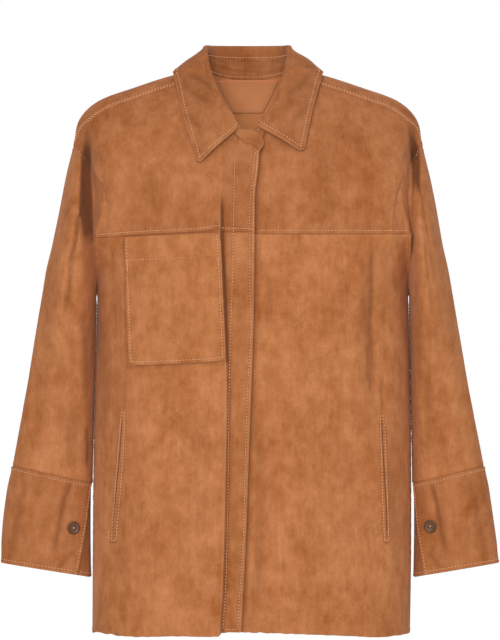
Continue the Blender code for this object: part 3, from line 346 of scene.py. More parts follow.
def folds(table, a, b, a_scale=1.0, b_scale=1.0):
    """Height of all the folds at each place, and the painted shade in their troughs."""
    height, dark = np.zeros(np.shape(a)), np.zeros(np.shape(a))
    for a0, b0, a1, b1, width, rise, shade in table.rows:
        run_a, run_b = (a1 - a0) * a_scale, (b1 - b0) * b_scale
        step_a, step_b = (a - a0) * a_scale, (b - b0) * b_scale
        length = math.hypot(run_a, run_b)
        along = (run_a * step_a + run_b * step_b) / length ** 2
        wander = 0.35 * width * np.sin(along * 5.0 + a0) if width < 13 else 0.0
        across = (run_a * step_b - run_b * step_a) / length + wander
        ends = smooth(along * 4 + 0.25) * smooth((1 - along) * 4 + 0.25)
        line = ends * np.exp(-(across / width) ** 2)
        height += rise * line
        # Painted shade in a trough: its colour darkens where shade falls in it.
        dark += shade * ends * np.exp(-(across / (0.8 * width)) ** 2)
    return height, dark


def ripple(s, seed, wave=11.0):
    """An uneven ripple along a seam, from -1 to 1."""
    total = 0.0
    for k, part in enumerate((0.45, 0.3, 0.25)):
        total = total + part * np.sin(2 * np.pi * s / (wave * (1 + 0.43 * k)) + seed * (1.7 + k))
    return total * (0.6 + 0.4 * np.sin(s / 47.0 + seed))


print("folds:", len(FRONT_FOLDS.rows), "front,", len(BACK_FOLDS.rows), "back,",
      len(SLEEVE_FOLDS.rows), "on a sleeve")

# %% [markdown]
# Where two sheets are sewn together their edges have to face the same way, or a slit would open
# between them.  At the neckline, the shoulder ridge and the armhole the wall of the cloth
# therefore turns, over the last few centimetres, to a direction that both sheets share.

# %% Ways the cloth faces, and the armhole
def sleeve_normal(side, angle, ring):
    across = sleeve_base(side, angle + 0.03, ring) - sleeve_base(side, angle - 0.03, ring)
    down = (sleeve_base(side, angle, np.minimum(ring + 0.01, 1.3))
            - sleeve_base(side, angle, np.maximum(ring - 0.01, 0.0)))
    return unit(np.cross(across, down)) * np.asarray(side, float)[..., None]


def ridge_normal(share):
    return unit(plain_normal(share, 1.0, "front") + plain_normal(share, 1.0, "back"))


def neck_normal(share, face):
    reach = column_reach(share, face)
    point = plain_trunk(share, reach, face)
    level = unit(points(point[..., 0], point[..., 1] - NECK_MIDDLE_Y, 0))
    return unit(plain_normal(share, reach, face) + level)


def armhole_normal(side, turn, face):
    share = side * (SHOULDER_SHARE + np.abs(turn) * (1 - SHOULDER_SHARE))
    middle = (sleeve_base(side, 0.0, 0.0) + sleeve_base(side, np.pi, 0.0)) / 2
    straight = unit(sleeve_base(side, np.pi * turn, 0.0) - middle)
    return unit(plain_normal(share, 1.0, face) + sleeve_normal(side, np.pi * turn, 0.0) + straight)


def trunk_normal(share, climb, face):
    normal = plain_normal(share, climb, face)
    near_top = smooth((climb - column_reach(share, face) + 0.12) / 0.12)[..., None]
    side, reach = np.where(share < 0, -1.0, 1.0), np.abs(share)
    turn = np.clip((reach - SHOULDER_SHARE) / (1 - SHOULDER_SHARE), 0, 1)
    hole = armhole_normal(side, turn if face == "front" else -turn, face)
    seam = np.where((reach < SHOULDER_SHARE)[..., None], ridge_normal(share), hole)
    seam = np.where((reach < NECK_SHARE)[..., None], neck_normal(share, face), seam)
    return unit(normal + (seam - normal) * near_top)


print("shoulder faces", trunk_normal(np.array([0.4]), np.array([1.0]), "front").round(2)[0])

# %% [markdown]
# A sheet of cloth here is a grid of outer points with the way each one faces.  The grid keeps
# how far every point lies from its four edges, measured along the cloth, because a seam shapes
# the cloth by that distance: the edge dips into the seam, the allowances pad it, and the stitches
# pull a groove.  Thickness comes last: an inner face and rounded rims close the sheet.

# %% A sheet of cloth
class Cloth:
    def __init__(self, point, out, thick, share=None):
        self.point, self.out, self.thick, self.share = point, unit(out), thick, share
        # The first mark is painted shade, darkening the colour where shade falls; the second
        # lightens rubbed raw edges and also paints highlights.
        self.dark, self.wear_and_highlight = np.zeros(point.shape[:2]), np.zeros(point.shape[:2])
        self.measure()

    def measure(self):
        """Distances from the four edges: rows run up from the bottom, columns from the start."""
        up = np.cumsum(np.linalg.norm(np.diff(self.point, axis=0), axis=-1), axis=0)
        up = np.vstack([np.zeros((1, up.shape[1])), up])
        on = np.cumsum(np.linalg.norm(np.diff(self.point, axis=1), axis=-1), axis=1)
        on = np.hstack([np.zeros((on.shape[0], 1)), on])
        self.away = {"bottom": up, "top": up[-1] - up, "start": on, "end": on[:, -1:] - on}

    def lift(self, height):
        self.point = self.point + self.out * np.asarray(height)[..., None]

    def crease(self, height, shade, fade=1.0):
        self.lift(height * fade)
        self.dark += shade * fade

    def seam(self, edge, style, where=1.0, seed=1.0, row=SEAM_ROW):
        """Shapes the cloth along an edge.  over lies on top with a stitched row, under goes
        beneath, hem is a raw edge with a stitched row, free is a raw edge alone."""
        d = self.away[edge]
        s = self.away["start"] if edge in ("bottom", "top") else self.away["bottom"]
        wave = ripple(s, seed)
        if style == "over":
            height = (-0.6 * bell(d, 0.7) + 0.6 * bell(d - row / 2, 2.1)
                      - 0.45 * bell(d - row, 0.9)
                      + 0.35 * wave * bell(d - row, 5))
            # Painted shade in the seam's groove and in the stitch groove.
            dark = 0.22 * bell(d, 0.6) + 0.10 * bell(d - row, 0.9)
            # A painted highlight on the padded ridge between them.
            wear_and_highlight = 0.15 * bell(d - 1.8, 1.2)
        elif style == "under":
            height = (-0.7 * bell(d, 1.0) + 0.25 * bell(d - 4, 2.4)
                      + 0.35 * wave * bell(d, 7))
            # Painted shade where the edge dips into the seam.
            dark = 0.25 * bell(d, 0.8)
            wear_and_highlight = 0.0 * d
        else:
            deep = 0.45 if style == "hem" else 0.0
            height = (0.3 * bell(d - row / 2, 2.0) - 0.3 * bell(d, 0.5)
                      - deep * bell(d - row, 0.8)
                      + 0.7 * wave * bell(d, 12))
            # Painted shade in a hem's stitch groove; the raw edge itself is rubbed lighter.
            dark = deep * 0.25 * bell(d - row, 0.9)
            wear_and_highlight = 0.4 * bell(d, 1.0)
        self.lift(height * where)
        self.dark += dark * where
        self.wear_and_highlight += wear_and_highlight * where

    def round_corner(self, edge, side, radius):
        """Rounds the outline where two edges meet, and draws the points near it in."""
        a, b = self.away[side], self.away[edge]
        p, q = np.maximum(radius - a, 0), np.maximum(radius - b, 0)
        near = (p > 0) & (q > 0)
        share = np.where(near, np.maximum(p, q) / np.maximum(np.hypot(p, q), 1e-6), 1.0)
        across = unit(np.gradient(self.point, axis=1)) * (1 if side == "start" else -1)
        along = unit(np.gradient(self.point, axis=0)) * (1 if edge == "bottom" else -1)
        self.point = (self.point + across * (p * (1 - share))[..., None]
                      + along * (q * (1 - share))[..., None])

    def row(self, edge, distance):
        """A line on the cloth at a distance from an edge: its points and ways out."""
        along = self.away[edge]
        point, out = self.point, self.out
        if edge in ("start", "end"):
            along, point, out = along.T, point.transpose(1, 0, 2), out.transpose(1, 0, 2)
        if edge in ("top", "end"):
            along, point, out = along[::-1], point[::-1], out[::-1]
        both = np.concatenate([point, out], axis=2)
        line = [[np.interp(distance, along[:, j], both[:, j, k]) for k in range(6)]
                for j in range(along.shape[1])]
        return np.array(line)


def cell_steps(total, count, near=(0, 0.45, 0.95, 1.5, 2.1, 2.8, 3.5, 4.2, 4.9, 5.8, 7.2, 9.4)):
    """Distances along a stretch of cloth, close together near both of its ends."""
    near = np.array(near)[:, None] * np.minimum(1.0, total / 44.0)
    middle = np.linspace(0, 1, count - 2 * len(near) + 2)[1:-1, None]
    middle = near[-1] + middle * (total - 2 * near[-1])
    return np.vstack([near, middle, total - near[::-1]])


TRIM = 0.12                                # what a sheet stops short of its seams


def laid_out(point, out, share, rows):
    """Lays rows at measured distances on a closely sampled surface."""
    run = np.cumsum(np.linalg.norm(np.diff(point, axis=0), axis=-1), axis=0)
    run = np.vstack([np.zeros((1, run.shape[1])), run]) + np.arange(len(run) + 1)[:, None] * 1e-7
    want = TRIM + cell_steps(np.maximum(run[-1] - 2 * TRIM, 0.01), rows)
    both = np.concatenate([point, out, share[..., None]], axis=2)
    grid = np.empty((rows, point.shape[1], 7))
    for j in range(point.shape[1]):
        for k in range(7):
            grid[:, j, k] = np.interp(want[:, j], run[:, j], both[:, j, k])
    return grid[..., :3], grid[..., 3:6], grid[..., 6]


print("a sheet 500 mm long gets steps from", cell_steps(np.array([500.0]), 160)[1].round(2), "mm")

# %% [markdown]
# A mesh is made from a sheet with two faces and a rim.  The rim has a middle line pushed out a
# little, so a cut edge is round and catches the light.  Each point also carries two marks in a
# colour attribute: how much painted shade lies there, in troughs, seam grooves, hollows and under
# edges, and how much it is lightened, for rubbed raw edges and for painted highlights.

# %% From sheet to mesh
MARKS = "marks"


def grid_quads(rows, cols):
    """The numbers of a grid's points, and its faces."""
    index = np.arange(rows * cols).reshape(rows, cols)
    quads = np.stack([index[:-1, :-1], index[:-1, 1:], index[1:, 1:], index[1:, :-1]], -1)
    return index, quads.reshape(-1, 4)


def new_piece(name, verts, faces, marks, material, sharp=60):
    mesh = bpy.data.meshes.new(name)
    mesh.from_pydata((np.asarray(verts) * MM).tolist(), [], faces)
    layer = mesh.color_attributes.new(MARKS, "FLOAT_COLOR", "POINT")
    values = np.ones((len(verts), 4))
    values[:, :3] = np.asarray(marks)
    layer.data.foreach_set("color", values.ravel())
    bm = bmesh.new()
    bm.from_mesh(mesh)
    bmesh.ops.remove_doubles(bm, verts=bm.verts, dist=3e-6)
    bmesh.ops.dissolve_degenerate(bm, dist=1e-6, edges=bm.edges)
    bmesh.ops.recalc_face_normals(bm, faces=bm.faces)
    bm.to_mesh(mesh)
    bm.free()
    mesh.shade_smooth()
    if sharp:
        mesh.set_sharp_from_angle(angle=math.radians(sharp))
    mesh.materials.append(material)
    obj = bpy.data.objects.new(name, mesh)
    bpy.context.scene.collection.objects.link(obj)
    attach(obj, "root")
    return obj


def sheet_mesh(name, cloth, material):
    outer, out = cloth.point.reshape(-1, 3), cloth.out.reshape(-1, 3)
    inner = outer - out * cloth.thick
    index, quads = grid_quads(*cloth.point.shape[:2])
    across = outer[quads[:, 1]] - outer[quads[:, 0]]
    up = outer[quads[:, 3]] - outer[quads[:, 0]]
    if np.sum(np.cross(across, up) * out[quads[:, 0]]) < 0:
        quads = quads[:, ::-1]
    rim = np.concatenate([index[0, :-1], index[:-1, -1], index[-1, :0:-1], index[:0:-1, 0]])
    beside = np.concatenate([index[1, :-1], index[:-1, -2], index[-2, :0:-1], index[:0:-1, 1]])
    away = outer[rim] - outer[beside]
    away = unit(away - out[rim] * np.sum(away * out[rim], axis=1, keepdims=True))
    middle = outer[rim] - out[rim] * cloth.thick / 2 + away * cloth.thick * 0.32
    total = len(outer)
    start = 2 * total
    ring = np.arange(len(rim))
    after = (ring + 1) % len(rim)
    faces = quads.tolist() + (quads[:, ::-1] + total).tolist()
    faces += np.stack([rim, rim[after], start + after, start + ring], -1).tolist()
    faces += np.stack([start + ring, start + after, total + rim[after], total + rim], -1).tolist()
    marks = np.zeros((start + len(rim), 3))
    marks[:total, 0] = marks[total:start, 0] = cloth.dark.ravel()
    marks[:total, 1] = cloth.wear_and_highlight.ravel()
    marks[start:, 1] = 0.8
    marks[total:start, 2] = 1.0
    return new_piece(name, np.vstack([outer, inner, middle]), faces, marks, material)


print("rim marks are kept in", MARKS)

# %% [markdown]
# Stitches are small, but they are what shows that a thing is sewn.  Each is a short rounded bar
# whose ends dive into the cloth.  They could be a texture, but bars of real thickness catch light
# from any side, and a whole seam of them is one mesh.

# %% Stitches along a line
STITCH_SIDES = 5
seams = {}


def sew(name, line, pitch=4.0, length=2.4, radius=0.52, rise=0.22):
    """Adds stitches along a line of points and ways out to a named seam."""
    line = np.asarray(line)
    run = lengths(line[:, :3])
    keep = np.concatenate([[True], np.diff(run) > 1e-6])
    run, line = run[keep], line[keep]
    count = int(run[-1] / pitch)
    if count < 1:
        return
    middle = (np.arange(count) + 0.5) * run[-1] / count
    wobble = 0.12 * np.sin(np.arange(count) * 2.399)
    ends = [np.stack([np.interp(middle + part * length / 2, run, line[:, k]) for k in range(6)], 1)
            for part in (-1, 1)]
    first, second = ends[0][:, :3], ends[1][:, :3]
    out = unit(ends[0][:, 3:] + ends[1][:, 3:])
    way = unit(second - first)
    across = unit(np.cross(way, out))
    verts = []
    for share, size, height in ((0, 0.45, -0.22), (0.22, 1, rise), (0.78, 1, rise),
                                (1, 0.45, -0.22)):
        centre = first + (second - first) * share + out * height + across * wobble[:, None]
        for k in range(STITCH_SIDES):
            turn = 2 * math.pi * (k + 0.25) / STITCH_SIDES
            verts.append(centre + (across * math.cos(turn) + out * math.sin(turn)) * radius * size)
    seams.setdefault(name, []).append(np.stack(verts, 1))


def make_stitches(name, material):
    blocks = np.concatenate(seams[name])
    count, size = blocks.shape[:2]
    n = STITCH_SIDES
    plan = [list(range(n))[::-1], list(range(3 * n, 4 * n))]
    for ring in range(3):
        for k in range(n):
            after = (k + 1) % n
            low, high = ring * n, (ring + 1) * n
            plan.append([low + k, low + after, high + after, high + k])
    faces = [[c + size * b for c in face] for b in range(count) for face in plan]
    marks = np.zeros((count * size, 3))
    tone = np.repeat(0.5 + 0.5 * np.sin(np.arange(count) * 1.7), size)
    marks[:, 1] = tone * 0.9
    obj = new_piece(name, blocks.reshape(-1, 3), faces, marks, material, sharp=0)
    return count


print("a stitch has", 2 * STITCH_SIDES * 3 + 2 * (STITCH_SIDES - 2), "triangles")

# %% [markdown]
# Suede is the flesh side of leather, brushed up into a nap of fine fibres.  It has hardly any
# gloss.  What makes it read as suede is that its tone wanders: soft patches where the nap lies
# another way, faint strokes down the hide, a fine grain, and a glow at grazing angles, which a
# sheen lobe gives.  The pattern is a node group, so that thread and smooth leather can share it.

# %% A node group for the nap
def link_all(tree, *pairs):
    for source, target in pairs:
        tree.links.new(source, target)


def node(tree, kind, **values):
    made_node = tree.nodes.new(kind)
    for name, value in values.items():
        setattr(made_node, name, value)
    return made_node


def math_node(tree, operation, first, second=None):
    made_node = node(tree, "ShaderNodeMath", operation=operation)
    for k, value in enumerate((first, second)):
        if value is None:
            continue
        if isinstance(value, (int, float)):
            made_node.inputs[k].default_value = value
        else:
            tree.links.new(value, made_node.inputs[k])
    return made_node.outputs[0]


def add(tree, first, second):
    return math_node(tree, "ADD", first, second)


def times(tree, first, second):
    return math_node(tree, "MULTIPLY", first, second)


def noise(tree, place, scale, detail, rough, stretch=(1, 1, 1)):
    mapping = node(tree, "ShaderNodeMapping")
    mapping.inputs["Scale"].default_value = stretch
    made_node = node(tree, "ShaderNodeTexNoise")
    made_node.inputs["Scale"].default_value = scale
    made_node.inputs["Detail"].default_value = detail
    made_node.inputs["Roughness"].default_value = rough
    link_all(tree, (place, mapping.inputs["Vector"]),
             (mapping.outputs["Vector"], made_node.inputs["Vector"]))
    return math_node(tree, "SUBTRACT", made_node.outputs["Fac"], 0.5)


def build_nap_group():
    tree = bpy.data.node_groups.new("brushed_nap", "ShaderNodeTree")
    sockets = (("Patches", 0.2), ("Strokes", 0.1), ("Grain", 0.25), ("Shift", 0.0))
    for name, value in sockets:
        made_socket = tree.interface.new_socket(name, in_out="INPUT", socket_type="NodeSocketFloat")
        made_socket.default_value = value
    for name in ("Tone", "Height", "Crease", "Dark", "WearAndHighlight", "Inside"):
        tree.interface.new_socket(name, in_out="OUTPUT", socket_type="NodeSocketFloat")
    given, result = node(tree, "NodeGroupInput"), node(tree, "NodeGroupOutput")
    place = node(tree, "ShaderNodeTexCoord").outputs["Object"]
    shift = node(tree, "ShaderNodeVectorMath", operation="ADD")
    spread = node(tree, "ShaderNodeCombineXYZ")
    link_all(tree, (given.outputs["Shift"], spread.inputs[0]),
             (given.outputs["Shift"], spread.inputs[2]), (place, shift.inputs[0]),
             (spread.outputs[0], shift.inputs[1]))
    place = shift.outputs[0]
    broad = noise(tree, place, 17, 4, 0.6, (1, 1, 0.62))
    patch = noise(tree, place, 60, 5, 0.66, (1, 1, 0.8))
    stroke = noise(tree, place, 210, 3, 0.6, (1, 1, 0.16))
    grain = noise(tree, place, 520, 4, 0.75)
    fibre = noise(tree, place, 1500, 2, 0.6, (1, 1, 0.5))
    patches = add(tree, times(tree, broad, 0.8), patch)
    grains = add(tree, grain, times(tree, fibre, 0.8))
    tone = times(tree, patches, given.outputs["Patches"])
    tone = add(tree, tone, times(tree, stroke, given.outputs["Strokes"]))
    tone = add(tree, tone, times(tree, grains, given.outputs["Grain"]))
    height = add(tree, times(tree, patch, 0.25), times(tree, grains, 0.6))
    height = add(tree, height, times(tree, stroke, 0.35))
    # Fine creases lie where one noise is near its middle value, in places that another chooses.
    bent = math_node(tree, "ABSOLUTE", noise(tree, place, 34, 3, 0.55, (1, 1, 0.55)))
    line = math_node(tree, "SUBTRACT", 1.0, times(tree, bent, 46.0))
    line = math_node(tree, "MAXIMUM", line, 0.0)
    where = times(tree, add(tree, noise(tree, place, 27, 2, 0.5), -0.02), 7.0)
    where = math_node(tree, "MINIMUM", math_node(tree, "MAXIMUM", where, 0.0), 1.0)
    crease = times(tree, line, where)
    height = math_node(tree, "SUBTRACT", height, times(tree, crease, 0.35))
    marks = node(tree, "ShaderNodeAttribute", attribute_name=MARKS)
    split = node(tree, "ShaderNodeSeparateColor")
    link_all(tree, (marks.outputs["Color"], split.inputs[0]), (tone, result.inputs["Tone"]),
             (height, result.inputs["Height"]), (crease, result.inputs["Crease"]),
             (split.outputs[0], result.inputs["Dark"]),
             (split.outputs[1], result.inputs["WearAndHighlight"]), (split.outputs[2], result.inputs["Inside"]))
    return tree


NAP = build_nap_group()
print("group", NAP.name, "has", len(NAP.nodes), "nodes")

# %% Suede, neck leather, thread and horn
def mixed(tree, factor, first, second):
    made_node = node(tree, "ShaderNodeMix", data_type="RGBA")
    for socket, value in ((made_node.inputs[0], factor), (made_node.inputs[6], first),
                          (made_node.inputs[7], second)):
        if isinstance(value, tuple):
            socket.default_value = value + (1.0,)
        elif isinstance(value, float):
            socket.default_value = value
        else:
            tree.links.new(value, socket)
    return made_node.outputs[2]


def new_material(name, colour, values):
    """A material with its node tree and its shader, whose inputs take the given values."""
    material = bpy.data.materials.new(name)
    material.use_nodes = True
    material.diffuse_color = colour + (1.0,)
    shader = material.node_tree.nodes["Principled BSDF"]
    for socket, value in values.items():
        shader.inputs[socket].default_value = value
    return material, material.node_tree, shader


def nap_material(name, colour, dark, wear_and_highlight, values, rough, sheen, bump, shift=0.0, inside=None):
    """values are the strengths of patches, strokes and grain."""
    tint = tuple(min(1.0, 1.7 * part + 0.15) for part in colour) + (1.0,)
    material, tree, shader = new_material(name, colour, {
        "Roughness": rough, "Specular IOR Level": 0.12, "Sheen Weight": sheen,
        "Sheen Roughness": 0.5, "Sheen Tint": tint})
    nap = node(tree, "ShaderNodeGroup", node_tree=NAP)
    for socket, value in zip(("Patches", "Strokes", "Grain", "Shift"), values + (shift,)):
        nap.inputs[socket].default_value = value
    low = tuple(colour[k] * (0.62, 0.43, 0.13)[k] for k in range(3))
    high = tuple(colour[k] * (1.38, 1.57, 1.87)[k] for k in range(3))
    tone = add(tree, nap.outputs["Tone"], 0.5)
    colours = mixed(tree, tone, low, high)
    # Painted shade: the shade marks and the nap's fine creases darken the colour towards the dark
    # tan.
    deep = node(tree, "ShaderNodeClamp")
    lines = times(tree, nap.outputs["Crease"], values[2] * 0.45)
    tree.links.new(add(tree, nap.outputs["Dark"], lines), deep.inputs[0])
    colours = mixed(tree, deep.outputs[0], colours, dark)
    # Rubbed raw edges and painted highlights lighten it towards the light tan.
    lightened = node(tree, "ShaderNodeClamp")
    tree.links.new(times(tree, nap.outputs["WearAndHighlight"], 0.55), lightened.inputs[0])
    colours = mixed(tree, lightened.outputs[0], colours, wear_and_highlight)
    # Where an inside colour is given, inner faces take it; it is far brighter than the suede,
    # painted light.
    if inside:
        colours = mixed(tree, nap.outputs["Inside"], colours, inside)
    relief = node(tree, "ShaderNodeBump")
    relief.inputs["Strength"].default_value = bump
    relief.inputs["Distance"].default_value = 0.0009
    link_all(tree, (colours, shader.inputs["Base Color"]),
             (nap.outputs["Height"], relief.inputs["Height"]),
             (relief.outputs["Normal"], shader.inputs["Normal"]))
    return material


# Painted shade mixes the colour towards the dark tan; rubbed edges and painted highlights mix it
# towards the light one.
TAN = (0.385, 0.136, 0.047)
TAN_DARK = (0.150, 0.048, 0.016)
TAN_WEAR_AND_HIGHLIGHT = (0.560, 0.260, 0.120)


def shade_of(factor, lean=0.0):
    return (TAN[0] * factor, TAN[1] * factor * (1 + lean), TAN[2] * factor * (1 + lean))


# The back's inner faces, seen through the neck, get a colour about twice as bright as its suede:
# painted light for the dim inside.
suede = {}
for part, factor, lean, shift in (("yoke", 0.95, -0.01, 1.3),
                                  ("lower", 1.06, 0.02, 2.7), ("sleeve", 1.05, 0.02, 4.1),
                                  ("collar", 0.86, -0.01, 5.9), ("cuff", 0.97, 0.0, 7.3),
                                  ("pocket", 1.06, 0.03, 8.8), ("back", 0.95, -0.01, 1.3)):
    suede[part] = nap_material("suede_" + part, shade_of(factor, lean), TAN_DARK, TAN_WEAR_AND_HIGHLIGHT,
                               (1.05, 0.36, 0.50), 0.92, 0.35, 0.55, shift,
                               (0.76, 0.29, 0.11) if part == "back" else None)
# The neck patch's colour is about twice as bright as the suede's too: painted light inside the
# neck.
neck_leather = nap_material("neck_leather", (0.80, 0.31, 0.125), TAN_DARK, TAN_WEAR_AND_HIGHLIGHT,
                            (0.14, 0.0, 0.12), 0.62, 0.1, 0.2, 3.3)
thread = nap_material("sewing_thread", (0.66, 0.36, 0.195), TAN_DARK, (0.74, 0.44, 0.26),
                      (0.05, 0.0, 0.1), 0.6, 0.2, 0.2, 1.0)


def horn_material():
    material, tree, shader = new_material("brown_horn", (0.16, 0.07, 0.03), {
        "Roughness": 0.34, "Specular IOR Level": 0.45})
    place = node(tree, "ShaderNodeTexCoord").outputs["Object"]
    streak = add(tree, noise(tree, place, 260, 3, 0.6, (1, 1, 0.3)), 0.5)
    cloud = add(tree, noise(tree, place, 120, 2, 0.5), 0.5)
    colours = mixed(tree, streak, (0.045, 0.018, 0.008), (0.19, 0.08, 0.032))
    colours = mixed(tree, cloud, colours, (0.12, 0.05, 0.02))
    tree.links.new(colours, shader.inputs["Base Color"])
    return material


horn = horn_material()
print("materials:", ", ".join(m.name for m in bpy.data.materials))

# %% [markdown]
# The fronts.  The photographed chest seam is not level: it drops towards the armholes.  The
# wearer's right front is one piece with the placket.  Along a line some 40 mm inside its edge the
# cloth is folded forward, so the pocket side stands over a valley; near the collar the fold runs
# out.  Everything across the placket is a height above the plain surface.

# %% Lines of the fronts
YOKE_SEAM = Table("x z", [(-197, -203.8), (-154, -200.3), (-62, -195.3), (-36, -192.5),
                          (-32, -195.0), (8, -196.2), (14, -197.8), (204, -197.8)])
LEFT_ROW = Table("z x", [(-695, -31.5), (-632, -27.5), (-486, -24.5), (-407, -23.9),
                         (-335, -22.3), (-275, -20.2), (-178, -18.1), (-125, -17.1),
                         (-93, -15.5), (-81, -12.6)])
RIGHT_ROW = Table("z x", [(-696, -13.4), (-633, -9.2), (-581, -6.0), (-508, -4.0), (-465, -2.9),
                          (-382, 0.0), (-320, 3.7), (-260, 2.1), (-193, 1.9), (-161, 2.5),
                          (-130, 5.4), (-105, 7.6), (-87, 10.6)])
SIDE_SHARE = 1 - 0.0006


def placket_height(x, z):
    """The right front near its edge: the fold, the valley, the covered buttons and the rows."""
    fold, edge = FOLD_EDGE.at("x", z), COVER_EDGE.at("x", z)
    folded = smooth((-z - 140) / 26)
    near = np.clip(1 - (fold - x) / 26, 0, 1)
    main = near ** 2 * (0.7 + 2.6 * folded) - 1.3 * folded * smooth((x - fold + 1.6) / 1.8) ** 2
    bumps = sum(1.3 * np.exp(-((z - h) / 11) ** 2 - ((x - edge + 14) / 8) ** 2)
                - 0.7 * np.exp(-((z - h + 2) / 4) ** 2 - ((x - edge + 12) / 7) ** 2)
                for h in HIDDEN_BUTTON_HEIGHTS)
    valley = 0.7 - 1.9 * folded
    cover = valley + (1.3 + bumps - valley) * smooth((x - fold - 1) / 9)
    cover = cover - 0.5 * bell(x - LEFT_ROW.at("x", z), 0.9)
    cover = cover - 0.55 * bell(x - RIGHT_ROW.at("x", z), 0.9)
    cover = cover - 1.1 * bell(edge - x, 0.9)
    wave = ripple(-z, 2.0, 16) * 0.5 * smooth((x - fold - 2) / 5)
    sharp = smooth((x - fold) / (0.5 + 6 * (1 - folded)))
    return main * (1 - sharp) + (cover + wave) * sharp


def placket_dark(x, z):
    fold, edge = FOLD_EDGE.at("x", z), COVER_EDGE.at("x", z)
    folded = smooth((-z - 140) / 26)
    deep = 0.5 + 0.4 * smooth((-z - 150) / 20) * smooth((z + 340) / 60)
    # Painted shade in the valley under the fold.
    valley = bell(x - fold - 2.2, 2.6) * folded * np.where(x > fold - 0.2, deep, 0.0)
    strip = 0.13 * smooth((x - fold) / 2) * smooth((edge - x) / 2)
    # Painted shade in the grooves of the two stitched rows.
    rows = (0.35 * bell(x - LEFT_ROW.at("x", z), 0.9)
            + 0.35 * bell(x - RIGHT_ROW.at("x", z), 0.9))
    # The fold and the cover's edge are painted lighter.
    wear_and_highlight = (0.35 * bell(x - fold + 1.2, 1.0) * folded
            + 0.45 * bell(x - edge + 1.4, 1.0))
    return valley + rows + strip, wear_and_highlight


def underlap_height(x, z):
    """The left front sinks where it runs under the placket."""
    return -4.4 * smooth((COVER_EDGE.at("x", z) + 11 - x) / 10)


print("placket is", round(float(COVER_EDGE.at("x", -300) - FOLD_EDGE.at("x", -300)), 1), "mm wide")

# %% Where the columns of a front end
def yoke_climb(share):
    z = np.full(np.shape(share), YOKE_SEAM_Z)
    for _ in range(4):
        climb = climb_of(share, z, "front")
        z = YOKE_SEAM.at("z", plain_trunk(share, climb, "front")[..., 0])
    return climb_of(share, z, "front")


def corner_share(face, z_at):
    """The column on which the armhole seam meets a level seam."""
    return float(close_in(SHOULDER_SHARE, 1.0,
                          lambda share: column_top(share, face)[..., 2] > z_at, 30))


FRONT_CORNER = {-1: corner_share("front", -203.8), 1: corner_share("front", -197.8)}
BACK_CORNER = corner_share("back", BACK_YOKE_Z)


def forward_seam(share):
    part = np.clip((np.abs(share) - NECK_SHARE) / (SHOULDER_SHARE - NECK_SHARE), 0, 1)
    drop = FORWARD_SEAM_DROP * np.minimum(1, part * 5) * np.minimum(1, (1 - part) * 4)
    return climb_of(share, column_top(share, "front")[..., 2] - drop, "front")


def front_top(share, side):
    reach = np.abs(share)
    top = np.where(reach < NECK_SHARE, column_reach(share, "front"),
                   np.where(reach <= SHOULDER_SHARE, forward_seam(share), 1.0))
    if side < 0:
        x = plain_trunk(share, 0.6, "front")[..., 0]
        tab = climb_of(share, -84 - 0.25 * np.maximum(x, 0), "front")
        top = np.where(x > -4, tab, top)
    return top


def front_share(side, place, z, far):
    """place runs 0 to 1 across the placket or underlap, to 2 at the neck column, to 3 outside."""
    if side < 0:
        first, second = COVER_EDGE.at("x", z), FOLD_EDGE.at("x", z)
    else:
        first, second = COVER_EDGE.at("x", z) - 27, COVER_EDGE.at("x", z) + 12
    neck = np.full(np.shape(z), side * NECK_SHARE)
    third = plain_trunk(neck, climb_of(neck, z, "front"), "front")[..., 0]
    x = (first + (second - first) * np.clip(place, 0, 1)
         + (third - second) * np.clip(place - 1, 0, 1))
    outside = side * (NECK_SHARE + (far - NECK_SHARE) * np.clip(place - 2, 0, 1))
    return np.where(place <= 2, share_at(x, z, "front"), outside)


def front_places(side, far):
    """Columns lie closer together at the fold, at the placket's edge and in the sharp creases."""
    if side < 0:
        edge = [0, 0.015, 0.03, 0.05, 0.075, 0.10, 0.125, 0.15, 0.18, 0.22]
        cover = edge + list(np.linspace(0.26, 0.62, 12)) + [0.66, 0.69, 0.72, 0.75, 0.78, 0.82]
        cover += [0.86, 0.90, 0.93, 0.955, 0.975, 0.985, 0.992, 0.998]
        middle = [1.0, 1.01, 1.03, 1.06, 1.10, 1.15, 1.2] + list(np.linspace(1.3, 2, 9))
    else:
        cover = list(np.linspace(0, 0.55, 10)) + list(np.linspace(0.6, 1, 22))
        middle = list(np.linspace(1.05, 2, 14))
    outside = (np.linspace(0, 1, 400)[1:] * (far - NECK_SHARE)) + NECK_SHARE
    sharp = (0.5, 0.64) if side > 0 else (0.60, 0.72)
    weight = 1.0 + 1.1 * ((outside > sharp[0]) & (outside < sharp[1])) + 0.6 * (outside > 0.93)
    total = np.cumsum(weight)
    count = int(76 * (far - NECK_SHARE) / (1 - NECK_SHARE)) + 8
    picks = np.interp(np.linspace(total[0], total[-1], count), total, outside)
    places = 2 + (picks - NECK_SHARE) / (far - NECK_SHARE)
    return np.array(cover + middle + list(places))


print("corners at shares", {k: round(v, 3) for k, v in FRONT_CORNER.items()}, round(BACK_CORNER, 3))

# %% [markdown]
# Under the shoulder the front ends in a soft upright edge, and the sleeve's head sinks in beside
# it.  The hollow crosses the armhole seam, so one function moves both sheets back by the same
# amount at the same place, and the seam stays shut.

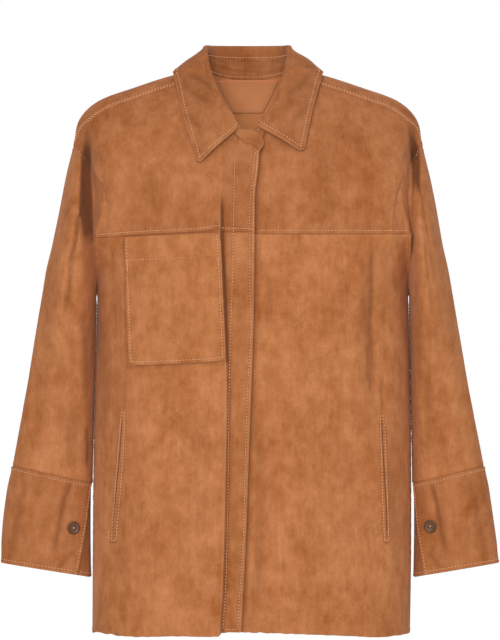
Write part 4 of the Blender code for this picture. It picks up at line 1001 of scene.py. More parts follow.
# %% The hollow beside the front
HOLLOW = {-1: Table("z edge wide deep", [(-215, -193.0, 9, 0), (-190, -193.6, 11, 7.0),
                                         (-165, -194.6, 11, 13), (-130, -196.2, 9, 13),
                                         (-100, -196.6, 8, 9.0), (-80, -197.0, 7, 4.0),
                                         (-62, -197.6, 6, 0)]),
          1: Table("z edge wide deep", [(-190, 204.0, 6, 0), (-150, 205.2, 7, 2.5),
                                        (-112, 205.0, 8, 8.0), (-92, 203.4, 8, 9.0),
                                        (-72, 201.4, 6, 4.5), (-54, 199.0, 6, 0)])}


def ragged(cloth, seed):
    """A raw hem isn't cut dead straight."""
    near = bell(cloth.away["bottom"], 5)
    cloth.point[..., 2] += 0.9 * ripple(cloth.point[..., 0], seed, 13) * near


# Where the flat part begins and its edge lies, how far it sinks towards that edge and falls
# past it, and how far the cloth may be moved.
FLAT_FROM, LIP_SINK, LIP_FALL, MOST_MOVED = 158.0, 7, 26, 24
LIP = {-1: Table("z edge", [(-345, 183), (-260, 187), (-215, 190.5), (-190, 192.6), (-150, 193.8),
                             (-110, 195.0), (-90, 195.5)]),
       1: Table("z edge", [(-345, 196), (-260, 199), (-215, 201.5), (-190, 203.0), (-150, 204.0),
                           (-112, 203.6), (-90, 202.0)])}


def bridge(cloth, side):
    """The front stays flat as far as its upright edge, as thick suede does."""
    a, h, z = side * cloth.point[..., 0], -cloth.point[..., 1], cloth.point[..., 2]
    lip = LIP[side].at("edge", z)
    order = np.arange(a.shape[1])[::side]
    level = np.array([np.interp(FLAT_FROM, np.maximum.accumulate(row_a[order]), row_h[order])
                      for row_a, row_h in zip(a, np.where(h > 0, h, 0))])[:, None]
    near = np.clip((a - FLAT_FROM) / (lip - FLAT_FROM), 0, 1)
    goal = level - LIP_SINK * near ** 2.5 - LIP_FALL * smooth((a - lip) / 7)
    part = smooth((-z - 90) / 30) * smooth((z + 255) / 62) * smooth((h - 12) / 14)
    part = part * (a > FLAT_FROM) * (1 - smooth((a - lip - 4) / 4))
    cloth.point[..., 1] -= np.clip(goal - h, 0, MOST_MOVED) * part


def sink_hollow(cloth, side):
    x, y, z = np.moveaxis(cloth.point, -1, 0)
    table = HOLLOW[side]
    past = (x - table.at("edge", z)) * side
    wide = table.at("wide", z)
    shape = smooth(past / 3.2) * (1 - smooth((past - wide) / 9))
    depth = table.at("deep", z) * shape * smooth((12 - y) / 20)
    cloth.point[..., 1] += depth
    # Painted shade in the hollow, darker the deeper it sinks.
    cloth.dark += 1.15 * smooth(depth / 8)
    # A painted highlight along the front's upright edge, where it turns into the hollow.
    cloth.wear_and_highlight += 0.25 * bell(past + 1.5, 1.5) * (table.at("deep", z) > 1) * (y < -5)


print("hollow depths:", [round(float(HOLLOW[s].at("deep", -120)), 1) for s in (-1, 1)], "mm")

# %% The four front sheets
def front_cloth(side, upper, rows):
    far = FRONT_CORNER[side] if upper else SIDE_SHARE
    place = front_places(side, far)
    if side < 0:
        place = place[::-1]
    t = np.linspace(0, 1, 200)[:, None]
    z = np.broadcast_to(-690 + 500 * t if not upper else -200 + 150 * t, (200, len(place)))
    for _ in range(4):
        share = front_share(side, place[None, :], z, far)
        seam = yoke_climb(share[-1] if not upper else share[0])
        if upper:
            low, high = seam, np.maximum(front_top(share[-1], side), seam)
        else:
            x = plain_trunk(share[0], -1, "front")[..., 0]
            low = (HEM_FRONT.at("z", x) - UNDERARM_Z) / (UNDERARM_Z - HEM_Z)
            high = np.where(np.abs(share[-1]) <= FRONT_CORNER[side], seam, 1.0)
        climb = low + (high - low) * t
        z = plain_trunk(share, climb, "front")[..., 2]
    dense = plain_trunk(share, climb, "front")
    point, out, share = laid_out(dense, trunk_normal(share, climb, "front"), share, rows)
    cloth = Cloth(point, out, CLOTH, share)
    x, z = point[..., 0], point[..., 2]
    fade = np.minimum(1, (1 - np.abs(share)) * 12)
    height, shade = folds(FRONT_FOLDS, x, z)
    if side < 0:
        dark, wear_and_highlight = placket_dark(x, z)
        over = smooth((FOLD_EDGE.at("x", z) + 2 - x) / 6)
        height, shade = height * over, shade * over
        cloth.lift(placket_height(x, z))
        cloth.dark += dark
        cloth.wear_and_highlight += wear_and_highlight
    else:
        # Painted shadow: the left front is darkened along the placket's edge, where the placket
        # shades it.
        visible = smooth((x - COVER_EDGE.at("x", z)) / 6)
        shade = shade * visible + 0.6 * (1 - smooth((x - COVER_EDGE.at("x", z)) / 7))
        cloth.lift(underlap_height(x, z))
    cloth.lift(height * fade)
    cloth.dark += shade
    bridge(cloth, side)
    sink_hollow(cloth, side)
    if not upper:
        ragged(cloth, 51.0 + side)
    return cloth


fronts = {}
for side in (-1, 1):
    for upper, rows in ((True, 70), (False, 168)):
        cloth = front_cloth(side, upper, rows)
        fronts[side, upper] = cloth
        if upper:
            cloth.seam("bottom", "over", seed=1.0 + side)
            shoulder = smooth((np.abs(cloth.share) - 0.15) / 0.03)
            cloth.seam("top", "under", where=shoulder, seed=3.0 + side)
        else:
            cloth.seam("top", "under", seed=2.0 + side)
            cloth.seam("start" if side < 0 else "end", "under", seed=4.0 + side)
            cloth.seam("bottom", "free", seed=5.0 + side)
print("front sheets:", {k: v.point.shape[:2] for k, v in fronts.items()})

# %% [markdown]
# The back.  It is cut in two: a yoke that reaches over both shoulders to the seams in front of
# them, and the large lower back.  No picture shows it, so it takes the same seams, rows of
# stitches and soft hanging folds as the fronts.

# %% The back yoke and the lower back
def back_yoke_cloth(rows=84, cols=190):
    far = BACK_CORNER - 0.003
    share = np.linspace(-far, far, cols)[None, :]
    t = np.linspace(0, 1, 160)[:, None]
    low = np.minimum(climb_of(share, BACK_YOKE_Z, "back"), column_reach(share, "back"))
    behind = low + (column_reach(share, "back") - low) * t
    wide = np.broadcast_to(share, behind.shape)
    ahead = 1 - (1 - forward_seam(share)) * t[1:]
    crosses = (np.abs(share) >= NECK_SHARE) & (np.abs(share) <= SHOULDER_SHARE)
    ahead = np.where(crosses, ahead, 1.0)
    front_wide = np.broadcast_to(share, ahead.shape)
    back_point, back_out = plain_trunk(wide, behind, "back"), trunk_normal(wide, behind, "back")
    last = np.broadcast_to(back_point[-1:], ahead.shape + (3,))
    front_point = np.where(crosses[..., None], plain_trunk(front_wide, ahead, "front"), last)
    front_out = np.where(crosses[..., None], trunk_normal(front_wide, ahead, "front"),
                         np.broadcast_to(back_out[-1:], ahead.shape + (3,)))
    point, out, share = laid_out(np.vstack([back_point, front_point]),
                                 np.vstack([back_out, front_out]),
                                 np.vstack([wide, front_wide]), rows)
    return Cloth(point, out, CLOTH, share)


def back_lower_cloth(rows=190, cols=210):
    share = np.linspace(-SIDE_SHARE, SIDE_SHARE, cols)
    t = np.linspace(0, 1, 220)[:, None]
    high = np.where(np.abs(share) <= BACK_CORNER, climb_of(share, BACK_YOKE_Z, "back"), 1.0)
    climb = -1 + (high + 1) * t
    wide = np.broadcast_to(share, climb.shape)
    point, out, share = laid_out(plain_trunk(wide, climb, "back"),
                                 trunk_normal(wide, climb, "back"), wide, rows)
    return Cloth(point, out, CLOTH, share)


back_yoke, back_lower = back_yoke_cloth(), back_lower_cloth()
for cloth in (back_yoke, back_lower):
    fade = np.minimum(1, (1 - np.abs(cloth.share)) * 12) * smooth(cloth.out[..., 1] * 3)
    cloth.crease(*folds(BACK_FOLDS, cloth.point[..., 0], cloth.point[..., 2]), fade)
back_yoke.seam("bottom", "over", seed=6.0)
at_shoulder = smooth((np.abs(back_yoke.share) - NECK_SHARE) / 0.02)
on_shoulder = at_shoulder * (np.abs(back_yoke.share) < SHOULDER_SHARE)
back_yoke.seam("top", "over", where=on_shoulder, seed=7.0)
back_yoke.seam("top", "over", where=at_shoulder * (np.abs(back_yoke.share) >= SHOULDER_SHARE),
               seed=8.0)
back_lower.seam("top", "under", seed=9.0)
back_lower.seam("start", "over", seed=10.0)
back_lower.seam("end", "over", seed=11.0)
back_lower.seam("bottom", "hem", seed=12.0, row=10.0)
print("back sheets:", back_yoke.point.shape[:2], back_lower.point.shape[:2])

# %% [markdown]
# A sleeve is a tube between two rails.  Its top ends in the armhole, where it turns to face as
# the trunk's cloth does; its bottom goes into the cuff.  The tube is drawn open along the seam
# under the arm, so that seam can be shaped like the others.

# %% Sleeves
def sleeve_cloth(side, rows=150, cols=150):
    angle = np.linspace(np.pi, -np.pi, 721)
    loop = sleeve_base(side, angle, 0.45)
    run = np.concatenate([[0], np.cumsum(np.linalg.norm(np.diff(loop, axis=0), axis=1)
                                         * (1 + 0.7 * (angle[1:] > 0.2)))])
    angle = np.interp(np.linspace(0, run[-1], cols), run, angle)[None, :]
    if side > 0:
        angle = angle[:, ::-1]
    ring = np.linspace(1, 0, 200)[:, None]
    angle, ring = np.broadcast_arrays(angle, ring)
    point, out, both = laid_out(sleeve_base(side, angle, ring), sleeve_normal(side, angle, ring),
                                ring, rows)
    cloth = Cloth(point, out, CLOTH, both)
    turn = angle[0] / np.pi
    hole = np.where((turn >= 0)[:, None], armhole_normal(side, turn, "front"),
                    armhole_normal(side, turn, "back"))
    near = smooth(1 - cloth.away["top"] / 16)[..., None]
    cloth.out = unit(cloth.out + (hole[None] - cloth.out) * near)
    degrees = np.degrees(np.broadcast_to(angle[:1], both.shape))
    fade = np.minimum(1, both * 10) * np.clip((1 - both) * 8, 0, 1)
    cloth.crease(*folds(SLEEVE_FOLDS, degrees, both, 1.2, 420), fade)
    fade = np.clip((1 - both) * 14, 0, 1) * smooth(-cloth.out[..., 1] * 2.5 + 0.2)
    cloth.crease(*folds(SLEEVE_LINES[side], cloth.point[..., 0], cloth.point[..., 2]), fade)
    sink_hollow(cloth, side)
    cloth.seam("top", "under", seed=13.0 + side)
    cloth.seam("bottom", "under", seed=15.0 + side)
    cloth.seam("start", "under", seed=17.0 + side)
    cloth.seam("end", "under", seed=17.0 + side)
    return cloth


sleeves = {side: sleeve_cloth(side) for side in (-1, 1)}
print("sleeve grids:", sleeves[1].point.shape[:2])

# %% [markdown]
# A cuff is a band round the sleeve's end.  Its upper end laps over the under end, and a horn
# button holds the two.  Both ends come from one strip that dives under itself.

# %% Cuffs
CUFF_EDGE = {-1: Table("z x", [(-630, -216.0), (-575, -206.0), (-512, -198.5)]),
             1: Table("z x", [(-630, 223.0), (-575, 214.5), (-512, 209.0)])}
CUFF_TOP, CUFF_BOTTOM, CUFF_LIFT, CUFF_UNDERLAP = 1.0009, 1.3, 0.9, 0.62


def cuff_edge_angle(side, ring):
    def before(angle):
        point = sleeve_base(side, angle, ring)
        return (point[..., 0] - CUFF_EDGE[side].at("x", point[..., 2])) * side > 0

    return close_in(np.full(np.shape(ring), np.pi / 2), np.full(np.shape(ring), np.pi), before)


CUFF_FOLDS = Table("turn0 ring0 turn1 ring1 width height dark", [
    (0.10, 1.00, 0.095, 1.24, 4, -2.2, 0.6), (0.155, 1.03, 0.15, 1.26, 8, 1.5, 0.0),
    (0.02, 1.22, 0.07, 1.29, 4, -1.2, 0.3), (0.24, 1.02, 0.23, 1.28, 7, -1.4, 0.3),
    (0.36, 1.02, 0.35, 1.28, 9, 1.2, 0.0), (0.47, 1.02, 0.48, 1.28, 7, -1.5, 0.3),
    (0.60, 1.02, 0.58, 1.28, 8, -1.3, 0.3)])


def cuff_cloth(side, rows=60, cols=190):
    turn = np.concatenate([np.linspace(0, 0.03, 14), np.linspace(0.036, 0.97, cols - 26),
                           np.linspace(0.974, 1, 12)])[None, :]
    ring = np.linspace(CUFF_BOTTOM, CUFF_TOP, 90)[:, None]
    start = cuff_edge_angle(side, ring)
    angle = start - turn * (2 * np.pi + CUFF_UNDERLAP)
    ring, turn = np.broadcast_to(ring, angle.shape), np.broadcast_to(turn, angle.shape)
    under = smooth((turn - 0.70) / 0.14)
    out = sleeve_normal(side, angle, ring)
    lift = CUFF_LIFT - (CUFF_CLOTH + 1.0) * under
    point = sleeve_base(side, angle, ring) + out * lift[..., None]
    point, out, both = laid_out(point, out, ring, rows)
    cloth = Cloth(point, out, CUFF_CLOTH, both)
    turn = np.broadcast_to(turn[:1], both.shape)
    cloth.crease(*folds(CUFF_FOLDS, turn, both, 360, 420))
    cloth.seam("top", "over", seed=19.0 + side, row=CUFF_TOP_ROW)
    cloth.seam("start", "hem", seed=21.0 + side, row=CUFF_END_ROW)
    cloth.seam("bottom", "hem", seed=23.0 + side, row=CUFF_BOTTOM_ROW)
    # Painted shade on the end of the cuff that runs under the other end.
    cloth.dark += 0.25 * smooth((turn - 0.84) / 0.05)
    return cloth


cuffs = {side: cuff_cloth(side) for side in (-1, 1)}
print("cuff grids:", cuffs[1].point.shape[:2])

# %% [markdown]
# The collar has a stand, which rises from the neck seam, and a leaf, which starts on the stand's
# top, turns over and comes down outside.  Both are lofted from the same sections: share 0 is the
# centre back, 0.5 the neck point and 1 the front end.

# %% Sections of the collar
COLLAR_COLUMNS = "share roll_x roll_y roll_z edge_x edge_turn"
COLLAR = {
    -1: Table(COLLAR_COLUMNS, [
        (0.00, 0, 48, 42, 0, -23), (0.15, -24, 45, 42, -34, -22.5), (0.30, -43, 34, 42, -66, -17),
        (0.42, -51, 17, 42, -84, -8), (0.50, -53, 5, 39, -91, 0), (0.58, -52, -10, 31, -93, 8),
        (0.72, -46, -34, 5, -89, 20), (0.86, -28, -58, -29, -81, 35),
        (1.00, -9, -73, -61, -63, 54)]),
    1: Table(COLLAR_COLUMNS, [
        (0.00, 0, 48, 42, 0, -23), (0.15, 24, 45, 42, 34, -22.5), (0.30, 42, 34, 42, 66, -17),
        (0.42, 50, 17, 42, 84, -8), (0.50, 51, 5, 39, 91, 0), (0.58, 50, -10, 31, 93, 8),
        (0.72, 44, -34, 4, 88, 20), (0.86, 33, -57, -29, 80, 34),
        (1.00, 12, -72, -58, 70, 50)])}
STAND_PART, COLLAR_LIFT, SEAM_GAP = 0.7, 6.0, 0.3
STAND_END = {
    -1: Table("part base_x base_z top_x top_z", [
        (0.00, -7, -83.5, -7, -67), (0.35, 2.5, -84.8, 5, -68), (0.62, 9.5, -89.0, 13, -71.5),
        (0.85, 13.0, -92.6, 18, -77), (1.00, 13.9, -95.2, 20.2, -85.7)]),
    1: Table("part base_x base_z top_x top_z", [
        (0.00, 11, -83, 11, -65), (0.50, -3, -85, -3, -66), (1.00, -17, -82, -17, -64)])}


def neckline_point(side, share):
    behind = share <= 0.5
    column = np.where(behind, NECK_SHARE * (np.clip(share, 0, 1) / 0.5) ** (1 / 1.1),
                      NECK_SHARE * (1 - 0.87 * (np.maximum(share - 0.5, 0) / 0.5) ** 2))
    column = np.maximum(column, 0.0001) * side
    found = []
    for face in ("back", "front"):
        reach = column_reach(column, face)
        found.append((plain_trunk(column, reach, face), neck_normal(column, face)))
    pick = behind[..., None]
    return np.where(pick, found[0][0], found[1][0]), np.where(pick, found[0][1], found[1][1])


def front_end_lift(side, x, share):
    if side > 0:
        lift = -2.3 * smooth((16 - x) / 12)
    else:
        lift = 3.6 * smooth((x + 44) / 20)
    return np.where(share <= 0.5, 0.0, lift)


def bend(controls, count):
    """A smooth line through a few points, as rows of count + 1 places."""
    rows, spans = [], len(controls) - 1
    for k in range(count + 1):
        at = spans * k / count
        i = min(int(at), spans - 1)
        s = at - i
        p1, p2 = controls[i], controls[i + 1]
        p0 = controls[i - 1] if i > 0 else p1 * 2 - p2
        p3 = controls[i + 2] if i + 2 <= spans else p2 * 2 - p1
        rows.append(0.5 * (2 * p1 + (p2 - p0) * s + (2 * p0 - 5 * p1 + 4 * p2 - p3) * s * s
                           + (3 * p1 - p0 - 3 * p2 + p3) * s ** 3))
    return np.stack(rows)


def collar_frame(side, share):
    table = COLLAR[side]

    def place(name, at):
        return points(*[table.at(name + axis, at) for axis in ("_x", "_y", "_z")])

    base, facing = neckline_point(side, share)
    roll = place("roll", share)
    top = base + (roll - base) * STAND_PART
    along = place("roll", np.minimum(share + 0.02, 1)) - place("roll", np.maximum(share - 0.02, 0))
    up = unit(roll - top)
    out = unit(np.cross(along, up)) * -side
    lift = out * front_end_lift(side, top[..., 0], share)[..., None]
    base = base + facing * front_end_lift(side, base[..., 0], share)[..., None] + up * SEAM_GAP
    turn = table.at("edge_turn", share)
    climb, x = 1 - np.abs(turn) / 90, table.at("edge_x", share)
    edges = []
    for face in ("back", "front"):
        column = close_in(np.full(share.shape, -1.0), np.full(share.shape, 1.0),
                          lambda column: plain_trunk(column, climb, face)[..., 0] < x)
        edges.append(plain_trunk(column, climb, face)
                     + plain_normal(column, climb, face) * COLLAR_LIFT)
    edge = np.where((turn > 0)[..., None], edges[1], edges[0])
    return base, top + lift, roll + lift, edge, out, up, facing


def clear_of_trunk(point, least):
    moved = []
    for face in ("front", "back"):
        share = share_at(point[..., 0], point[..., 2], face)
        climb = climb_of(share, point[..., 2], face)
        normal = plain_normal(share, climb, face)
        height = np.sum((point - plain_trunk(share, climb, face)) * normal, axis=-1)
        moved.append(point + normal * np.maximum(0.0, least - height)[..., None])
    return np.where((point[..., 1] < 8)[..., None], moved[0], moved[1])


def grid_normals(point):
    across, up = np.gradient(point, axis=1), np.gradient(point, axis=0)
    return unit(np.cross(across, up))


print("roll at the neck point:", COLLAR[1].at("roll_z", 0.5), "mm up")

# %% The stand and the leaf
def collar_shares(count):
    return np.concatenate([np.linspace(0, 1, count - 8)[:-1] * 0.985, np.linspace(0.985, 1, 9)])


def stand_cloth(rows=26, count=70):
    halves = {}
    for side in (-1, 1):
        share = collar_shares(count)
        base, top, _, _, out, _, facing = collar_frame(side, share)
        part = bend([base, (base + top) / 2 + out * 0.8, top], rows - 1)
        ways = bend([facing, unit(facing + out), out], rows - 1)
        ends, end_ways = [], []
        for at in np.linspace(0, 1, 25)[1:]:
            pair = []
            for name in ("base", "top"):
                x, z = STAND_END[side].at(name + "_x", at), STAND_END[side].at(name + "_z", at)
                column = share_at(x, z, "front")
                climb = climb_of(column, z, "front")
                normal = plain_normal(column, climb, "front")
                pair.append((plain_trunk(column, climb, "front")
                             + normal * front_end_lift(side, x, 1.0), normal))
            line = bend([pair[0][0], (pair[0][0] + pair[1][0]) / 2, pair[1][0]], rows - 1)
            ends.append(line)
            end_ways.append(bend([pair[0][1], pair[0][1], pair[1][1]], rows - 1))
        ends, end_ways = np.stack(ends, 1), np.stack(end_ways, 1)
        halves[side] = (np.concatenate([part, ends], 1), np.concatenate([ways, end_ways], 1))
    point = np.concatenate([halves[-1][0][:, ::-1], halves[1][0][:, 1:]], 1)
    out = np.concatenate([halves[-1][1][:, ::-1], halves[1][1][:, 1:]], 1)
    cloth = Cloth(point, out, COLLAR_CLOTH)
    s, up = cloth.away["start"], cloth.away["bottom"]
    behind = smooth((point[..., 1] - 5) / 15)
    wrinkle = (0.6 * np.sin(up * 0.52 + 0.9 * np.sin(s / 17)) * np.sin(s / 23 + 1.2)
               + 0.35 * np.sin(up * 0.9 + s / 13) * np.sin(s / 31))
    cloth.lift(wrinkle * behind * smooth(up / 5) * smooth(cloth.away["top"] / 6))
    # Painted shade in the troughs of the wrinkles behind the neck.
    cloth.dark += 0.10 * behind * smooth(0.3 - wrinkle)
    cloth.seam("bottom", "under", seed=25.0)
    tab = smooth((-point[..., 1] - 66) / 6)
    cloth.seam("start", "free", where=tab, seed=26.0)
    cloth.seam("top", "free", where=tab, seed=27.0)
    return cloth


LEAF_FOLDS = Table("x0 z0 x1 z1 width height dark", [
    (-74, 8, -44, -16, 4.0, -1.3, 0.4), (-82, -8, -48, -34, 4.5, -1.2, 0.35),
    (-66, -20, -46, -66, 6.0, 1.2, 0.0), (-84, -46, -58, -62, 5.0, -1.0, 0.3),
    (78, 6, 52, -22, 4.5, -1.2, 0.35), (84, -14, 54, -40, 5.0, 1.1, 0.0),
    (82, -34, 50, -60, 5.0, -1.1, 0.3), (60, -60, 70, -96, 6.0, 1.0, 0.0),
    (-62, -78, -72, -104, 6.0, -0.9, 0.25)])


def leaf_cloth(rows=62, count=88):
    halves = {}
    for side in (-1, 1):
        share = collar_shares(count)
        _, top, roll, edge, out, up, _ = collar_frame(side, share)
        start = top - out * COLLAR_CLOTH + up * 2 * SEAM_GAP
        outer = roll + out * 7.0 - up * 5.0
        middle = (outer + edge) / 2 + out * 3
        line = bend([start, roll - out * 1.2 - up * 1.5, roll + out * 3.2, outer, middle, edge], 96)
        part = np.linspace(0, 1, 97)
        over_stand = 9.5 if side < 0 else 6.5
        least = over_stand + (COLLAR_LIFT - over_stand) * smooth((part[48:, None] - 0.5) / 0.5)
        line[48:] = np.where((share > 0.5)[:, None], clear_of_trunk(line[48:], least), line[48:])
        halves[side] = line
    dense = np.concatenate([halves[-1][:, ::-1], halves[1][:, 1:]], 1)
    both = np.broadcast_to(np.linspace(0, 1, 97)[:, None], dense.shape[:2])
    point, out, share = laid_out(dense, grid_normals(dense), both, rows)
    cloth = Cloth(point, grid_normals(point), COLLAR_CLOTH, share)
    outside = smooth((share - 0.35) / 0.1)
    height, shade = folds(LEAF_FOLDS, point[..., 0], point[..., 2])
    front = outside * smooth((10 - point[..., 1]) / 12)
    s = cloth.away["start"]
    soft = 0.6 * np.sin(s / 19 + 2) * np.sin(cloth.away["top"] / 11) * outside
    cloth.lift((height * front + soft) * smooth(cloth.away["top"] / 5))
    # Painted shade in the troughs of the leaf's folds.
    cloth.dark += shade * front
    for edge, seed in (("top", 28.0), ("start", 29.0), ("end", 30.0)):
        where = 1.0 if edge == "top" else smooth((share - 0.3) / 0.15)
        cloth.seam(edge, "hem", where=where, seed=seed, row=LEAF_ROW)
    cloth.round_corner("top", "start", 10.0)
    cloth.round_corner("top", "end", 10.0)
    return cloth


stand, leaf = stand_cloth(), leaf_cloth()
print("collar grids:", stand.point.shape[:2], leaf.point.shape[:2])

# %% [markdown]
# Pieces that lie on the fronts: the chest pocket and the two side pockets.  Each is laid out
# as seen from the front and lifted off the sheet beneath.  To know how high that sheet lies
# under any place, a ray is dropped onto its finished grid.

# %% Rays onto a sheet
def tree_of(cloth):
    quads = grid_quads(*cloth.point.shape[:2])[1]
    return BVHTree.FromPolygons(cloth.point.reshape(-1, 3).tolist(), quads.tolist())


def drop(trees, x, z):
    """The point and way out where a level line from the front meets the first of some sheets."""
    best = None
    for tree in trees:
        place, normal, _, _ = tree.ray_cast(Vector((x, -600.0, z)), Vector((0, 1, 0)))
        if place is not None and (best is None or place.y < best[0].y):
            best = (place, normal)
    if best is None:
        return None
    place, normal = best
    if normal.y > 0:
        normal = -normal
    return list(place) + list(normal)


def traced(trees, line, step=1.5):
    """A finely stepped line over some sheets, through (x, z) places seen from the front."""
    line = np.asarray(line, float)
    run = lengths(line)
    at = np.linspace(0, run[-1], max(2, int(run[-1] / step)))
    places = [drop(trees, np.interp(a, run, line[:, 0]), np.interp(a, run, line[:, 1]))
              for a in at]
    return np.array([place for place in places if place])


ground = {key: tree_of(cloth) for key, cloth in fronts.items()}
print("front at the chest:", [round(v, 1) for v in drop(ground.values(), -100, -300)])

# %% The chest pocket, the side pockets and the neck patch
POCKET_CORNERS = {"top_right": (-154.5, -202.2), "top_left": (-35.6, -196.6),
                  "bottom_left": (-28.0, -357.5), "bottom_right": (-149.5, -363.5)}
LAY_GAP, POCKET_HEM = 0.5, 31


def laid_piece(outline, down, across, lift, thick, trees):
    """A piece on the front; outline gives x and z for shares across and down."""
    v, u = np.meshgrid(down, across, indexing="ij")
    x, z = outline(u, v)
    found = np.array([[drop(trees, a, b) or [0] * 6 for a, b in zip(*pair)] for pair in zip(x, z)])
    point, out = found[..., :3], found[..., 3:]
    for _ in range(3):                     # the piece bridges what is sharp beneath it
        out[1:-1, 1:-1] = (out[:-2, 1:-1] + out[2:, 1:-1] + out[1:-1, :-2] + out[1:-1, 2:]) / 4
    out = unit(out)
    return Cloth(point + out * (lift + thick), out, thick)


def pocket_outline(u, v):
    c = POCKET_CORNERS
    sides = [[a + (b - a) * v for a, b in zip(c["bottom_" + w], c["top_" + w])]
             for w in ("right", "left")]
    x, z = [a + (b - a) * u for a, b in zip(*sides)]
    rounded = 3.2 * (np.exp(-u * 22) + np.exp(-(1 - u) * 22)) * np.exp(-v * 26)
    return x + 1.5 * np.exp(-v * 26) * (np.exp(-u * 22) - np.exp(-(1 - u) * 22)), z + rounded


close = np.concatenate([[0, 0.006, 0.013, 0.021, 0.03, 0.04], np.linspace(0.052, 0.948, 44),
                        [0.96, 0.97, 0.979, 0.987, 0.994, 1]])
down = np.concatenate([close[:-12], np.linspace(0.74, 0.97, 34), close[-3:]])
pocket = laid_piece(pocket_outline, down, close, LAY_GAP, TRIM_CLOTH, ground.values())
past_hem = pocket.away["top"] - POCKET_HEM
pocket.lift(0.5 - 0.35 * bell(past_hem, 1.0) - 0.25 * smooth(past_hem / 1.5))
# Painted shade in the groove of the pocket's hem line.
pocket.dark += 0.35 * bell(past_hem, 1.0)
bulge = np.sin(np.pi * np.clip(pocket.away["start"] / 118, 0, 1)) * np.sin(
    np.pi * np.clip(pocket.away["bottom"] / 160, 0, 1))
pocket.lift(1.6 * bulge + 0.5 * ripple(pocket.away["start"] + 0.4 * pocket.away["bottom"], 3.0, 40))
for edge, seed in (("start", 31.0), ("end", 32.0), ("bottom", 33.0)):
    pocket.seam(edge, "hem", seed=seed, row=POCKET_ROW)
pocket.seam("top", "under", seed=34.0)

# Painted shadow: the front is darkened all round the pocket, where the pocket's edges shade it,
# most along the edge away from the sleeve.
beneath = fronts[-1, False]
ring = [np.array(POCKET_CORNERS[name]) for name in ("top_right", "top_left", "bottom_left",
                                                    "bottom_right")]
places = np.stack([beneath.point[..., 0], beneath.point[..., 2]], -1)
outside = []
for k in range(4):
    way, from_ = ring[(k + 1) % 4] - ring[k], places - ring[k]
    outside.append((way[0] * from_[..., 1] - way[1] * from_[..., 0]) / np.hypot(*way))
beyond = np.max(outside, axis=0)
for k, strength in enumerate((0.45, 0.75, 0.6, 0.35)):
    beneath.dark += strength * (outside[k] == beyond) * bell(beyond - 1.4, 2.0)

WELTS = {-1: Table("z x half", [(-586, -169.5, 4.4), (-520, -163.8, 5.4), (-470, -160, 5.0),
                                (-440, -158.2, 4.2), (-424, -157.6, 2.8), (-417, -157.4, 0.9)]),
         1: Table("z x half", [(-586, 174.5, 4.2), (-520, 171.8, 4.8), (-470, 170.4, 4.6),
                               (-440, 169.2, 3.8), (-428, 168.2, 2.4), (-421, 167.2, 0.9)])}
OPENING = {-1: Table("z offset", [(-586, -0.3), (-545, -0.3), (-500, -0.15), (-440, 0.05)]),
           1: Table("z offset", [(-586, -0.1), (-545, 0.1), (-480, -0.2), (-440, -0.35)])}
welts = {}
for side in (-1, 1):
    line = WELTS[side]
    low, high = line.rows[0, 0], line.rows[-1, 0]

    def welt_outline(u, v, line=line, low=low, high=high):
        z = low + (high - low) * v
        return line.at("x", z) + (2 * u - 1) * line.at("half", z), z

    across, along = np.linspace(0, 1, 27), np.linspace(0, 1, 90)
    welt = laid_piece(welt_outline, along, across, 0.3, 1.0, [ground[side, False]])
    u, z = np.broadcast_to(2 * across - 1, welt.point.shape[:2]), welt.point[..., 2]
    middle = OPENING[side].at("offset", z)
    open_ = smooth((-z - 428) / 14) * smooth((z + 580) / 16)
    slot = bell(u - middle, 0.16) * open_
    wave = ripple(-z, 5.0 + side, 19)
    welt.lift(0.8 * (1 - np.abs(u) ** 3) - 2.6 * slot + 0.5 * wave * (1 - slot)
              - 0.8 * np.abs(u) ** 6)
    # Painted shade inside the slit and at the welt's sides.
    welt.dark += 1.25 * slot + 0.3 * np.abs(u) ** 8
    welt.wear_and_highlight += 0.5 * bell(np.abs(u - middle) - 0.34, 0.12) * open_
    welts[side] = welt


def patch_cloth():
    v, u = np.meshgrid(np.linspace(0, 1, 34), np.linspace(0, 1, 60), indexing="ij")
    z = -41 + 39.5 * v
    x = (2 * u - 1) * (20 + 21 * v) - 1.5
    share = share_at(x, z, "back")
    climb = climb_of(share, z, "back")
    out = trunk_normal(share, climb, "back")
    base = plain_trunk(share, climb, "back") - out * (CLOTH + 0.95)
    cloth = Cloth(base, out, TRIM_CLOTH)
    for edge, seed in (("start", 35.0), ("end", 36.0), ("bottom", 37.0)):
        d = cloth.away[edge]
        cloth.lift(0.35 * bell(d - PATCH_ROW, 0.9) - 0.25 * bell(d - 1.5, 1))
        cloth.dark += 0.3 * bell(d - PATCH_ROW, 0.9)
    return cloth


patch = patch_cloth()
print("laid pieces:", pocket.point.shape[:2], welts[1].point.shape[:2], patch.point.shape[:2])

# %% [markdown]
# The cuff buttons are the only hard things that show.  A button is turned, so it is a profile
# swept round; four holes are dips in that surface, and a cross of thread goes through them.

# %% Cuff buttons
BUTTON_RADIUS = 8.3
CUFF_BUTTONS = {-1: (-221.0, -568.6), 1: (231.0, -566.6)}


def button_place(side):
    x, z = CUFF_BUTTONS[side]
    ring, angle = 1.2, math.radians(110)
    for _ in range(12):
        here = sleeve_base(side, angle, ring)
        across = sleeve_base(side, angle + 0.05, ring) - here
        down = sleeve_base(side, angle, ring + 0.01) - here
        det = across[0] * down[2] - across[2] * down[0]
        gap_x, gap_z = x - here[0], z - here[2]
        angle += 0.05 * (gap_x * down[2] - gap_z * down[0]) / det
        ring += 0.01 * (across[0] * gap_z - across[2] * gap_x) / det
    normal = sleeve_normal(side, np.array(angle), np.array(ring))
    return sleeve_base(side, angle, ring) + normal * (CUFF_LIFT + 0.9), normal


